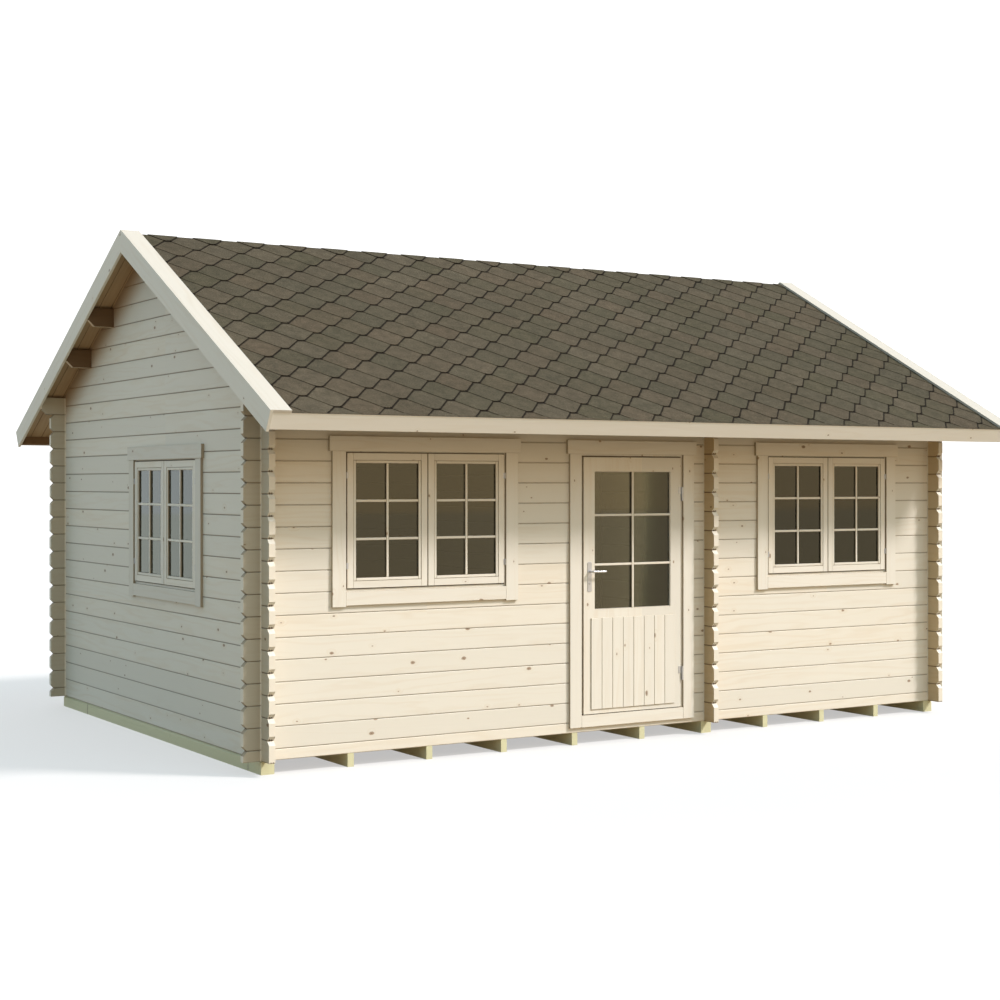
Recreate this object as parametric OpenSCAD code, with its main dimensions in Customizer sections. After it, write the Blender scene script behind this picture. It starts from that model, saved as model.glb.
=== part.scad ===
// Log cabin with two rooms, a felt-shingled gable roof and a half-glazed door.
// Origin: on the ground, under the middle of the roof. +X along the front wall, +Y to the back.

/* [Walls] */
// Length over the outer faces of the two gable walls
wall_l = 6060; // [4500:10:7500]
// Width over the outer faces of the front and rear walls
wall_w = 4130; // [3000:10:5200]
// Thickness of the logs
log_t = 45; // [34:1:60]
// Height that one log course takes
pitch = 145; // [120:1:175]
// Least height of the front and rear walls over the bearers, made up to whole courses
wall_h = 2537; // [2100:1:3100]
// How far the log ends stand out past the crossing wall
log_end = 125; // [80:5:180]
// Length of the corner cut on a log end, along the log
end_cut_l = 28; // [10:1:40]
// Height of the corner cut on a log end
end_cut_h = 30; // [10:1:34]
// Chamfer along the long edges of a log
log_chamfer = 4.5; // [2:0.5:7]
// Width of one tongue on top of a log
tongue_w = 8; // [5:0.5:9]
// Height of a tongue
tongue_h = 7; // [4:0.5:10]
// How much deeper a groove is than the tongue in it
groove_room = 5; // [3:0.5:8]
// Distance of the outer tongue's middle from the log's outer face
tongue_in = 11.5; // [9.5:0.5:12]
// Spacing of the two tongues
tongue_gap = 16; // [12:0.5:18]
// Full courses over the gable window and the inner doorway, up to the top of the long walls
courses_over = 3; // [2:1:5]

/* [Foundation and floor] */
// Height of the bearers and joists
bearer_h = 90; // [60:5:120]
// Width of a bearer or joist
bearer_w = 47; // [38:1:60]
// Chamfer on the outer top edge of an outer bearer
bearer_chamfer = 14; // [5:1:20]
// Thickness of the floor boards
floor_t = 20; // [16:1:28]
// Expansion gap between the floor and the walls
floor_gap = 5; // [3:1:12]
// Nominal spacing of the joists
joist_step = 604; // [400:10:700]

/* [Roof] */
// Slope of the roof in degrees
roof_angle = 28; // [24:0.5:33]
// Overhang of the left verge past the gable wall
overhang_left = 224; // [180:5:280]
// Overhang of the right verge past the gable wall
overhang_right = 280; // [180:5:300]
// Overhang of the eaves past the front and rear walls
overhang_eave = 620.93; // [300:10:750]
// Thickness of the roof boards
deck_t = 28; // [18:1:34]
// Thickness of the felt and shingles together
shingle_t = 14; // [8:1:18]
// Thickness of the ridge shingles over the others
ridge_cap_t = 5; // [3:1:10]
// Width of the ridge shingles on each slope
ridge_cap_w = 140; // [100:5:180]
// Height of a bargeboard, square to the slope
barge_h = 149; // [120:1:180]
// Thickness of the bargeboards and fascias
trim_t = 20; // [16:1:28]
// Thickness of the verge covers
cover_t = 18; // [14:1:28]
// Width of the verge covers beside the bargeboards
cover_w = 125; // [90:5:160]
// Height of a fascia, square to the slope
fascia_h = 116; // [90:1:140]
// Setback of a fascia from the ends of the bargeboards
fascia_back = 3; // [2:0.5:8]
// Courses from the top of the long walls up to each side purlin
purlin_steps = [2, 4];
// Depth of the ridge purlin below the underside of the roof boards
ridge_purlin_h = 155.5; // [120:0.5:180]
// Corner cut under the ends of the purlins and top logs
purlin_cut = 48; // [20:2:70]

/* [Door] */
// Wall between the head casings of the left front window and the door
door_from_window = 400; // [200:5:600]
// Wall between the door's head casing and the partition's log ends
door_to_partition = 86; // [40:2:300]
// Width of the door leaf
leaf_w = 884; // [740:2:1060]
// Height of the door leaf
leaf_h = 1873; // [1600:1:2100]
// Thickness of the door leaf
leaf_t = 38; // [36:1:44]
// How far the leaf's front stands out past the wall
leaf_proud = 14; // [10:1:18]
// Clearance round the leaf inside its frame
leaf_gap = 6; // [5:0.5:8]
// Clearance between the leaf and the stops
stop_gap = 5.3; // [5:0.1:8]
// Distance of the leaf's bottom above the front sill log
leaf_lift = 56; // [48:1:60]
// Width of the leaf's stiles beside the glass
leaf_stile = 96; // [80:1:110]
// Width of the leaf's top rail
leaf_top_rail = 104; // [80:1:120]
// Height of the glass in the leaf
leaf_glass_h = 1008; // [800:2:1100]
// Distance of the lower boards from the leaf's side edges
door_board_side = 60; // [50:1:80]
// Distance of the lower boards from the leaf's bottom
door_board_foot = 31; // [25:1:60]
// Distance of the lower boards from the glass over them
door_board_top = 62; // [50:1:100]
// Thickness of the lower boards
door_board_t = 8; // [6:1:12]
// Number of lower boards side by side
door_boards_n = 8; // [6:1:10]
// Settling gap over the door's frame
settle_door = 57; // [10:1:70]

/* [Hinges and handle] */
// Height of each half of a hinge barrel
knuckle_h = 52; // [40:1:60]
// Radius of a hinge barrel
knuckle_r = 7.5; // [6:0.5:9]
// Radius of the hinge pins
pin_r = 4; // [3:0.5:5]
// Running clearance round the hinge pins and the lever's necks
running_gap = 0.05; // [0.02:0.01:0.1]
// Clearance between a hinge barrel and the plane of the leaf's front
hinge_room = 0.5; // [0.4:0.1:2]
// Height of the lower hinge above the leaf's bottom
hinge_low = 252; // [150:2:400]
// Distance of the upper hinge below the leaf's top
hinge_high = 271; // [150:1:400]
// Distance of the lever's axis from the leaf's free edge
lever_in = 50; // [40:1:60]
// Height of the lever's axis above the leaf's bottom
lever_up = 1039; // [900:1:1100]
// Height of the door plates
plate_h = 219; // [180:1:250]
// Width of the door plates
plate_w = 38; // [30:1:44]
// Thickness of the door plates
plate_t = 3; // [2:0.5:5]
// Distance of the lever's axis below the plates' top
plate_drop = 70; // [50:1:90]
// Length of the lever's grip
grip_l = 120; // [90:1:140]
// Radius of the lever's neck
neck_r = 8; // [6:0.5:10]
// Radius of the lever's grip
grip_r = 8.5; // [6:0.5:11]
// Distance of the grip's middle from the leaf
grip_out = 45; // [35:1:60]

/* [Windows] */
// Distance of the left front window's middle from the left gable's outer face
window_left_at = 1237; // [1000:5:1500]
// Distance of the right front window's middle from the right gable's outer face
window_right_at = 1160; // [1000:5:1400]
// Distance of the gable window's middle from the front wall's outer face
window_gable_at = 1727; // [1500:5:2200]
// Width of a pair of sashes
sashes_w = 1236; // [900:2:1500]
// Height of the sashes
sash_h = 908; // [700:1:1100]
// Thickness of the sashes
sash_t = 36; // [30:1:42]
// How far the sashes stand out past the wall
sash_proud = 12; // [8:1:18]
// Width of the sash members
sash_member = 68; // [50:1:80]
// Clearance round the sashes inside their frame
sash_gap = 5; // [3:0.5:8]
// Settling gap over a front window's frame
settle_front = 45; // [10:1:55]
// Settling gap over the gable window's frame
settle_gable = 12; // [10:1:20]
// Thickness of the glass
glass_t = 4; // [3:1:6]

/* [Frames and casings] */
// Thickness of the frame members
frame_t = 38; // [30:1:45]
// Width of the stops inside a frame
stop_w = 12; // [8:1:16]
// Width of the casing boards
casing_w = 101; // [80:1:110]
// Thickness of the casing boards
casing_t = 20; // [14:1:26]
// Extra thickness of the head casings
head_extra = 4; // [0:1:8]
// How far the head casings stand out past the side casings
head_ear = 22; // [0:1:40]
// Reveal between the door leaf and its casing
door_reveal = 22; // [20:1:30]
// Reveal between the sashes and their casing
sash_reveal = 12; // [8:1:20]
// Reveal between the sashes and the casing under them
sash_foot_reveal = 22; // [8:1:30]
// Width of the doorway in the partition
doorway_w = 850; // [700:10:900]
// Distance of the doorway's middle from the front wall's outer face
doorway_at = 1875; // [1400:5:2700]

/* [Hidden] */
$fn = 64;

joint_gap = 0.4;        // between logs, and round tongues and crossings
seat_gap = 0.3;         // between pieces that rest on one another
same = 1;               // heights closer than this count as equal
over = 1;               // how far a cutting shape runs past what it cuts
least_course_h = 30;    // a lower course than this is left out under the ridge

log_h = pitch - joint_gap;
notch_h = pitch / 4;
notch_half = log_t / 2 + joint_gap;
tongues = [tongue_in, tongue_in + tongue_gap];
base_z = bearer_h;
long_z = base_z + pitch / 2;
// Full courses in the front and rear walls, above their half sill log
long_courses = ceil((wall_h - pitch / 2) / pitch);
wall_top_z = long_z + pitch * long_courses;

groove_h = tongue_h + groove_room;
front_y = -wall_w / 2;
rear_y = wall_w / 2;
roof_l = wall_l + overhang_left + overhang_right;
verge_left_x = -roof_l / 2;
verge_right_x = roof_l / 2;
left_x = verge_left_x + overhang_left;
right_x = left_x + wall_l;

roof_apex_z = wall_top_z + wall_w / 2 * tan(roof_angle);
trim_apex_z = roof_apex_z - seat_gap / cos(roof_angle);
gable_courses = floor((roof_apex_z - base_z - least_course_h) / pitch) + 1;
top_z = deck_t + shingle_t + cover_t;
trim_x = verge_left_x + trim_t + seat_gap;
trim_end_x = verge_right_x - trim_t - seat_gap;
slope_l = (wall_w / 2 + overhang_eave) / cos(roof_angle);
purlin_courses = [for (n = purlin_steps) long_courses + n];

window_side = sashes_w / 2 + sash_reveal + casing_w + head_ear;
door_side = door_reveal + casing_w + head_ear;
leaf_x = left_x + window_left_at + window_side + door_from_window + door_side;
leaf_y = front_y - leaf_proud;
leaf_z = long_z + leaf_lift;
partition_x = leaf_x + leaf_w + door_side + door_to_partition;
door_hole = [
    leaf_x - leaf_gap - frame_t - seat_gap,
    leaf_x + leaf_w + leaf_gap + frame_t + seat_gap,
    long_z,
    leaf_z + leaf_h + leaf_gap + frame_t + settle_door
];
// Whole courses of the front wall that the door parts
door_courses = floor((door_hole[3] - long_z + same) / pitch);
leaf_glass_w = leaf_w - 2 * leaf_stile;
leaf_glass_z = leaf_z + leaf_h - leaf_top_rail - leaf_glass_h;
hinge_out = door_reveal / 2;
hinge_x = leaf_x + leaf_w + hinge_out;
hinge_y = leaf_y - knuckle_r - hinge_room;
lever_x = leaf_x + lever_in;
lever_z = leaf_z + lever_up;

// Opening in the wall for a pair of sashes: low and high places along the wall, then heights
function window_hole(middle, head, settle) = [
    middle - sashes_w / 2 - sash_gap - frame_t - seat_gap,
    middle + sashes_w / 2 + sash_gap + frame_t + seat_gap,
    head - settle - sash_h - 2 * sash_gap - 2 * frame_t - seat_gap,
    head
];
left_window_hole = window_hole(left_x + window_left_at, door_hole[3], settle_front);
right_window_hole = window_hole(right_x - window_right_at, door_hole[3], settle_front);
front_holes = [left_window_hole, door_hole, right_window_hole];
head_z = base_z + pitch * (long_courses - courses_over);
gable_window_hole = window_hole(front_y + window_gable_at, head_z, settle_gable);
doorway_hole = [
    front_y + doorway_at - doorway_w / 2, front_y + doorway_at + doorway_w / 2,
    base_z + pitch, head_z
];

// Outer faces of the side purlins, where their tops meet the roof boards
function purlin_y(course) = (roof_apex_z - base_z - pitch * (course + 1)) / tan(roof_angle);
purlin_holes = [for (c = purlin_courses, side = [-1, 1])
    let (y = side * (purlin_y(c) - log_t / 2))
    [y - notch_half, y + notch_half, base_z + pitch * c, base_z + pitch * (c + 1)]];
ridge_hole = [-notch_half, notch_half, roof_apex_z - ridge_purlin_h, roof_apex_z];
roof_holes = concat(
    [for (i = [0:len(purlin_courses) - 1]) purlin_holes[2 * i]],
    [ridge_hole],
    [for (i = [len(purlin_courses) - 1:-1:0]) purlin_holes[2 * i + 1]]
);

// ---- Logs ----

// Points of a notch in one edge of a log's side view; spots are [middle, half width, cut height]
function low_notches(spots) = [for (s = spots) each
    [[s[0] - s[1], 0], [s[0] - s[1], s[2]], [s[0] + s[1], s[2]], [s[0] + s[1], 0]]];
function high_notches(spots, top) = [for (i = [len(spots) - 1:-1:0]) let (s = spots[i]) each
    [[s[0] + s[1], top], [s[0] + s[1], s[2]], [s[0] - s[1], s[2]], [s[0] - s[1], top]]];

// Side view of a log from a to b. cut_a and cut_b are its end cuts: [length, low height, high height]
function log_side(a, b, h, cut_a, cut_b, low, high) =
    let (
        top = h + tongue_h,
        rise_a = cut_a[2] > 0 ? cut_a[0] * (1 + tongue_h / cut_a[2]) : 0,
        rise_b = cut_b[2] > 0 ? cut_b[0] * (1 + tongue_h / cut_b[2]) : 0
    )
    concat(
        [[a + (cut_a[1] > 0 ? cut_a[0] : 0), 0]],
        low_notches(low),
        [[b - (cut_b[1] > 0 ? cut_b[0] : 0), 0]],
        cut_b[1] > 0 ? [[b, cut_b[1]]] : [],
        cut_b[2] > 0 ? [[b, h - cut_b[2]]] : [],
        [[b - rise_b, top]],
        high_notches(high, top),
        [[a + rise_a, top]],
        cut_a[2] > 0 ? [[a, h - cut_a[2]]] : [],
        cut_a[1] > 0 ? [[a, cut_a[1]]] : []
    );

// End view of a log, with its outer face at 0
function log_end_view(h, grooved, tongued) = concat(
    [[log_chamfer, 0]],
    grooved ? [for (g = tongues) let (w = tongue_w / 2 + joint_gap) each
        [[g - w, 0], [g - w, groove_h], [g + w, groove_h], [g + w, 0]]] : [],
    [[log_t - log_chamfer, 0], [log_t, log_chamfer], [log_t, h - log_chamfer], [log_t - log_chamfer, h]],
    tongued ? [for (i = [1, 0]) let (g = tongues[i], w = tongue_w / 2) each
        [[g + w, h], [g + w, h + tongue_h], [g - w, h + tongue_h], [g - w, h]]] : [],
    [[log_chamfer, h], [0, h - log_chamfer], [0, log_chamfer]]
);

// One log along X, with its outer face at Y 0 and its underside at Z 0
module log_piece(a, b, h, cut_a, cut_b, low, high, grooved, tongued) {
    intersection() {
        translate([0, log_t + over, 0]) rotate([90, 0, 0]) linear_extrude(log_t + 2 * over)
            polygon(log_side(a, b, h, cut_a, cut_b, low, high));
        translate([a - over, 0, 0]) rotate([90, 0, 90]) linear_extrude(b - a + 2 * over)
            polygon(log_end_view(h, grooved, tongued));
    }
}

square_end = [0, 0, 0];
corner_end = [end_cut_l, end_cut_h, end_cut_h];
eave_end = [purlin_cut, purlin_cut, 0];

function inside(x, a, b) = x > a && x < b;
function splits(hole, z) = hole[2] <= z + same && hole[3] >= z + pitch - same;
function opens_top(hole, z, h) = hole[2] > z + same && hole[2] <= z + h + joint_gap + same;
function opens_foot(hole, z) = hole[2] <= z + same && hole[3] > z + same && hole[3] < z + pitch - same;

// One course at height z, from a to b, split and notched where the holes and crossing walls need it
module course(z, a, b, cut_a, cut_b, crossings, holes, h = log_h, low = true, high = true,
              grooved = true, tongued = true) {
    gaps = [for (o = holes) if (splits(o, z)) o];
    edges = concat([a], [for (o = gaps) each [o[0], o[1]]], [b]);
    for (i = [0:2:len(edges) - 1]) {
        from = edges[i];
        to = edges[i + 1];
        walls = [for (c = crossings) if (inside(c, from, to)) c];
        tops = [for (o = holes) if (opens_top(o, z, h) && o[1] > from && o[0] < to)
            [(o[0] + o[1]) / 2, (o[1] - o[0]) / 2, min(h, o[2] - z)]];
        feet = [for (o = holes) if (opens_foot(o, z) && o[1] > from && o[0] < to)
            [(o[0] + o[1]) / 2, (o[1] - o[0]) / 2, o[3] - z]];
        low_spots = concat(low ? [for (c = walls) [c, notch_half, notch_h]] : [], feet);
        high_spots = concat(high ? [for (c = walls) [c, notch_half, h - notch_h]] : [], tops);
        translate([0, 0, z]) log_piece(
            from, to, h, i == 0 ? cut_a : square_end, i == len(edges) - 2 ? cut_b : square_end,
            in_order(low_spots), in_order(high_spots), grooved, tongued
        );
    }
}

// Spots sorted by their place along the log
function in_order(spots) = len(spots) < 2 ? spots :
    let (
        first = spots[0],
        before = [for (s = spots) if (s[0] < first[0]) s],
        after = [for (s = spots) if (s[0] > first[0]) s]
    )
    concat(in_order(before), [first], in_order(after));

cross_walls = [left_x + log_t / 2, partition_x + log_t / 2, right_x - log_t / 2];
long_a = left_x - log_end;
long_b = right_x + log_end;

// Courses of a long wall from first to last, between a and b
module long_wall_courses(first, last, a, b, holes, cut_a = corner_end, cut_b = corner_end) {
    for (k = [first:last])
        course(long_z + pitch * k, a, b, cut_a, cut_b, cross_walls, holes);
}

// The top course runs out under the roof to the bargeboards
module long_wall_top_course(holes) {
    course(long_z + pitch * (long_courses - 1), trim_x, trim_end_x, eave_end, eave_end,
        cross_walls, holes, tongued = false);
}

module long_sill_log(holes) {
    course(base_z, long_a, long_b, [end_cut_l, 0, end_cut_h], [end_cut_l, 0, end_cut_h],
        cross_walls, holes, h = pitch / 2 - joint_gap, low = false, grooved = false);
}

module wood() { color([0.93, 0.88, 0.77]) children(); }
module at_front() { translate([0, front_y, 0]) children(); }
module at_rear() { mirror([0, 1, 0]) translate([0, front_y, 0]) children(); }

module front_sill_log() {
    wood() at_front() long_sill_log([door_hole]);
}

module front_wall_left() {
    wood() at_front()
        long_wall_courses(0, door_courses - 1, long_a, door_hole[0], [left_window_hole],
            cut_b = square_end);
}

module front_wall_right() {
    wood() at_front()
        long_wall_courses(0, door_courses - 1, door_hole[1], long_b, [right_window_hole],
            cut_a = square_end);
}

module front_wall_top() {
    wood() at_front() {
        long_wall_courses(door_courses, long_courses - 2, long_a, long_b, front_holes);
        long_wall_top_course(front_holes);
    }
}

module rear_wall() {
    wood() at_rear() {
        long_sill_log([]);
        long_wall_courses(0, long_courses - 2, long_a, long_b, []);
        long_wall_top_course([]);
    }
}

// Everything under the roof boards
module under_roof() {
    reach = trim_apex_z / tan(roof_angle);
    translate([verge_left_x, 0, 0]) rotate([90, 0, 90]) linear_extrude(roof_l)
        polygon([[-reach, 0], [reach, 0], [0, trim_apex_z]]);
}

// A wall across the cabin: full courses up to the eaves, then courses cut to the roof
module cross_wall(x, flip, holes) {
    a = front_y - log_end;
    b = rear_y + log_end;
    long_walls = [front_y + log_t / 2, rear_y - log_t / 2];
    module placed() { translate([x, 0, 0]) rotate([0, 0, 90]) mirror([0, flip, 0]) children(); }
    placed() {
        course(base_z, a, b, [end_cut_l, 0, end_cut_h], [end_cut_l, 0, end_cut_h], long_walls, holes,
            grooved = false);
        for (k = [1:long_courses - 1])
            course(base_z + pitch * k, a, b, corner_end, corner_end, long_walls, holes);
    }
    for (k = [long_courses:gable_courses - 1])
        intersection() {
            placed() course(base_z + pitch * k, a, b, square_end, square_end,
                k == long_courses ? long_walls : [], concat(holes, roof_holes), high = false,
                tongued = k < gable_courses - 1);
            under_roof();
        }
}

module left_gable_wall() { wood() cross_wall(left_x, 1, [gable_window_hole]); }
module right_gable_wall() { wood() cross_wall(right_x, 0, []); }
module partition_wall() { wood() cross_wall(partition_x, 1, [doorway_hole]); }

// ---- Foundation and floor ----

module bearer(x, chamfer_left, chamfer_right) {
    h = bearer_h - seat_gap;
    translate([x, rear_y, 0]) rotate([90, 0, 0]) linear_extrude(wall_w)
        polygon([
            [0, 0], [bearer_w, 0], [bearer_w, h - chamfer_right], [bearer_w - chamfer_right, h],
            [chamfer_left, h], [0, h - chamfer_left]
        ]);
}

module treated() { color([0.60, 0.62, 0.42]) children(); }
small_chamfer = 3;

module gable_bearers() {
    treated() {
        bearer(left_x, bearer_chamfer, small_chamfer);
        bearer(left_x + bearer_w + joint_gap, small_chamfer, small_chamfer);
        bearer(right_x - 2 * bearer_w - joint_gap, small_chamfer, small_chamfer);
        bearer(right_x - bearer_w, small_chamfer, bearer_chamfer);
    }
}

partition_bearer_x = partition_x + log_t / 2 - bearer_w - joint_gap / 2;
module partition_bearers() {
    treated() for (i = [0, 1])
        bearer(partition_bearer_x + i * (bearer_w + joint_gap), small_chamfer, small_chamfer);
}

// Joists fill the floor between two bearers at the nominal spacing
function joist_places(from, to) =
    let (n = round((to - from) / joist_step))
    [for (i = [1:n - 1]) from + (to - from) * i / n];
joist_middles = concat(
    joist_places(left_x + bearer_w, partition_x + log_t / 2),
    joist_places(partition_x + log_t / 2, right_x - bearer_w)
);

module floor_joists() {
    treated() for (m = joist_middles) bearer(m - bearer_w / 2, small_chamfer, small_chamfer);
}

module floor_slab(from, to) {
    translate([from, front_y + log_t + floor_gap, bearer_h])
        cube([to - from, wall_w - 2 * (log_t + floor_gap), floor_t]);
}

module floor_boards() {
    color([0.85, 0.74, 0.56]) {
        floor_slab(left_x + log_t + floor_gap, partition_x - floor_gap);
        floor_slab(partition_x + log_t + floor_gap, right_x - log_t - floor_gap);
    }
}

// ---- Roof ----

// Purlin along X with its outer face at y and its underside at z
module purlin(y, z, h) {
    translate([0, y, z]) rotate([90, 0, 0]) linear_extrude(log_t)
        polygon([
            [trim_x + purlin_cut, 0], [trim_end_x - purlin_cut, 0], [trim_end_x, purlin_cut],
            [trim_end_x, h], [trim_x, h], [trim_x, purlin_cut]
        ]);
}

module ridge_purlin() {
    wood() intersection() {
        purlin(log_t / 2, roof_apex_z - ridge_purlin_h, ridge_purlin_h);
        under_roof();
    }
}

module side_purlins() {
    wood() for (c = purlin_courses, side = [0, 1])
        mirror([0, side, 0]) purlin(purlin_y(c), base_z + pitch * c, log_h);
}

// Children are drawn with -Y down the front slope and Z square to it, from the underside of the roof
module on_front_slope() {
    translate([0, 0, roof_apex_z]) rotate([roof_angle, 0, 0]) children();
}
module on_rear_slope() { mirror([0, 1, 0]) on_front_slope() children(); }

// A layer of one slope between two heights over the roof's underside, mitred at the ridge
module slope_layer(x0, x1, low, high, reach) {
    miter = tan(roof_angle);
    translate([x0, 0, 0]) rotate([90, 0, 90]) linear_extrude(x1 - x0)
        polygon([
            [-reach, low], [low * miter - seat_gap, low], [high * miter - seat_gap, high], [-reach, high]
        ]);
}

deck_end = slope_l - fascia_back - trim_t - seat_gap;
module roof_boards() {
    color([0.80, 0.68, 0.48]) slope_layer(trim_x, trim_end_x, 0, deck_t, deck_end);
}
module front_roof_boards() { on_front_slope() roof_boards(); }
module rear_roof_boards() { on_rear_slope() roof_boards(); }

shingle_low = deck_t + seat_gap;
shingle_high = deck_t + shingle_t - seat_gap;
module felt() { color([0.40, 0.37, 0.32]) children(); }
module shingles() {
    felt() slope_layer(trim_x, trim_end_x, shingle_low, shingle_high, deck_end);
}
module front_shingles() { on_front_slope() shingles(); }
module rear_shingles() { on_rear_slope() shingles(); }

cover_low = deck_t + shingle_t;
module ridge_cap() {
    low = shingle_high + seat_gap;
    high = low + ridge_cap_t;
    from = trim_x + cover_w + seat_gap;
    to = trim_end_x - cover_w - seat_gap;
    miter = tan(roof_angle);
    felt() for (side = [0, 1])
        mirror([0, side, 0]) on_front_slope() translate([from, 0, 0])
            rotate([90, 0, 90]) linear_extrude(to - from)
                polygon([
                    [-ridge_cap_w, low], [low * miter, low], [high * miter, high], [-ridge_cap_w, high]
                ]);
}

module fascia() {
    wood() translate([trim_x, -slope_l + fascia_back, cover_low - seat_gap - fascia_h])
        cube([trim_end_x - trim_x, trim_t, fascia_h]);
}
module front_fascia() { on_front_slope() fascia(); }
module rear_fascia() { on_rear_slope() fascia(); }

module both_slopes() {
    on_front_slope() children();
    on_rear_slope() children();
}
module bargeboard(x) { slope_layer(x, x + trim_t, top_z - barge_h, top_z, slope_l); }
module left_bargeboards() { wood() both_slopes() bargeboard(verge_left_x); }
module right_bargeboards() { wood() both_slopes() bargeboard(verge_right_x - trim_t); }

module verge_cover(x) { slope_layer(x, x + cover_w, cover_low, top_z, slope_l); }
module left_verge_covers() { wood() both_slopes() verge_cover(trim_x); }
module right_verge_covers() { wood() both_slopes() verge_cover(trim_end_x - cover_w); }

// ---- Frames, casings and sashes, drawn along X in front of a wall whose outer face is Y 0 ----

module slab(x0, x1, y0, y1, z0, z1) { translate([x0, y0, z0]) cube([x1 - x0, y1 - y0, z1 - z0]); }

// Four members and four stops round an inner opening; back is where the stops start
module frame(x0, x1, z0, z1, back) {
    y1 = log_t - seat_gap;
    out_l = x0 - frame_t;
    out_r = x1 + frame_t;
    slab(out_l, x0, 0, y1, z0 - frame_t, z1 + frame_t);
    slab(x1, out_r, 0, y1, z0 - frame_t, z1 + frame_t);
    slab(x0 + seat_gap, x1 - seat_gap, 0, y1, z0 - frame_t, z0);
    slab(x0 + seat_gap, x1 - seat_gap, 0, y1, z1, z1 + frame_t);
    slab(x0 + seat_gap, x0 + stop_w, back, y1, z0 + seat_gap, z1 - seat_gap);
    slab(x1 - stop_w, x1 - seat_gap, back, y1, z0 + seat_gap, z1 - seat_gap);
    slab(x0 + stop_w + seat_gap, x1 - stop_w - seat_gap, back, y1, z0 + seat_gap, z0 + stop_w);
    slab(x0 + stop_w + seat_gap, x1 - stop_w - seat_gap, back, y1, z1 - stop_w, z1 - seat_gap);
}

// Boards round an opening on both faces of a wall; foot is the height of the board under it, if any
module casing(x0, x1, z0, z1, foot_z) {
    module boards(t) {
        slab(x0 - casing_w, x0, -t, -seat_gap, foot_z, z1);
        slab(x1, x1 + casing_w, -t, -seat_gap, foot_z, z1);
        slab(x0 - casing_w - head_ear, x1 + casing_w + head_ear, -t - head_extra, -seat_gap,
            z1 + seat_gap, z1 + casing_w);
        if (z0 > foot_z)
            slab(x0 + seat_gap, x1 - seat_gap, -t, -seat_gap, foot_z, z0);
    }
    boards(casing_t);
    translate([0, log_t, 0]) mirror([0, 1, 0]) boards(casing_t);
}

module window_frame(hole, settle) {
    z0 = hole[2] + seat_gap + frame_t;
    frame(hole[0] + seat_gap + frame_t, hole[1] - seat_gap - frame_t,
        z0, hole[3] - settle - frame_t, sash_t - sash_proud + seat_gap);
}

module window_casing(hole) {
    x0 = hole[0] + seat_gap + frame_t + sash_gap - sash_reveal;
    x1 = hole[1] - seat_gap - frame_t - sash_gap + sash_reveal;
    sash_z = hole[2] + seat_gap + frame_t + sash_gap;
    z0 = sash_z - sash_foot_reveal;
    casing(x0, x1, z0, sash_z + sash_h + sash_reveal, z0 - casing_w);
}

meeting_gap = 3;
sash_w = (sashes_w - meeting_gap) / 2;
module each_sash(hole) {
    x0 = hole[0] + seat_gap + frame_t + sash_gap;
    z0 = hole[2] + seat_gap + frame_t + sash_gap;
    for (i = [0, 1]) translate([x0 + i * (sash_w + meeting_gap), -sash_proud, z0]) children();
}

module window_sashes(hole) {
    each_sash(hole) difference() {
        cube([sash_w, sash_t, sash_h]);
        translate([sash_member, -over, sash_member])
            cube([sash_w - 2 * sash_member, sash_t + 2 * over, sash_h - 2 * sash_member]);
    }
}

module sash_glass(hole) {
    m = sash_member + seat_gap;
    each_sash(hole) translate([m, (sash_t - glass_t) / 2, m])
        cube([sash_w - 2 * m, glass_t, sash_h - 2 * m]);
}

module at_left_gable() { translate([left_x, 0, 0]) rotate([0, 0, 90]) mirror([0, 1, 0]) children(); }
module glazing() { color([0.35, 0.36, 0.33, 0.5]) children(); }
module metal() { color("silver") children(); }

module left_window_frame() { wood() at_front() window_frame(left_window_hole, settle_front); }
module left_window_sashes() { wood() at_front() window_sashes(left_window_hole); }
module left_window_casing() { wood() at_front() window_casing(left_window_hole); }
module right_window_frame() { wood() at_front() window_frame(right_window_hole, settle_front); }
module right_window_sashes() { wood() at_front() window_sashes(right_window_hole); }
module right_window_casing() { wood() at_front() window_casing(right_window_hole); }
module gable_window_frame() { wood() at_left_gable() window_frame(gable_window_hole, settle_gable); }
module gable_window_sashes() { wood() at_left_gable() window_sashes(gable_window_hole); }
module gable_window_casing() { wood() at_left_gable() window_casing(gable_window_hole); }

module window_glass() {
    glazing() {
        at_front() sash_glass(left_window_hole);
        at_front() sash_glass(right_window_hole);
        at_left_gable() sash_glass(gable_window_hole);
    }
}

module partition_casing() {
    wood() translate([partition_x, 0, 0]) rotate([0, 0, 90]) mirror([0, 1, 0])
        casing(doorway_hole[0], doorway_hole[1], doorway_hole[2], doorway_hole[3], doorway_hole[2]);
}

// ---- Door ----

module door_frame() {
    wood() at_front() frame(leaf_x - leaf_gap, leaf_x + leaf_w + leaf_gap,
        leaf_z - leaf_gap, leaf_z + leaf_h + leaf_gap, leaf_t - leaf_proud + stop_gap);
}

casing_foot_z = base_z + notch_h;
module door_casing() {
    wood() at_front() casing(leaf_x - door_reveal, leaf_x + leaf_w + door_reveal,
        leaf_z - leaf_gap + seat_gap, leaf_z + leaf_h + door_reveal, casing_foot_z);
}

neck_play = 4;          // between the lever's neck and its hole in the leaf
module door_leaf() {
    wood() difference() {
        translate([leaf_x, leaf_y, leaf_z]) cube([leaf_w, leaf_t, leaf_h]);
        translate([leaf_x + leaf_stile, leaf_y - over, leaf_glass_z])
            cube([leaf_glass_w, leaf_t + 2 * over, leaf_glass_h]);
        translate([lever_x, leaf_y - over, lever_z]) rotate([-90, 0, 0])
            cylinder(r = neck_r + neck_play, h = leaf_t + 2 * over);
    }
}

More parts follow.
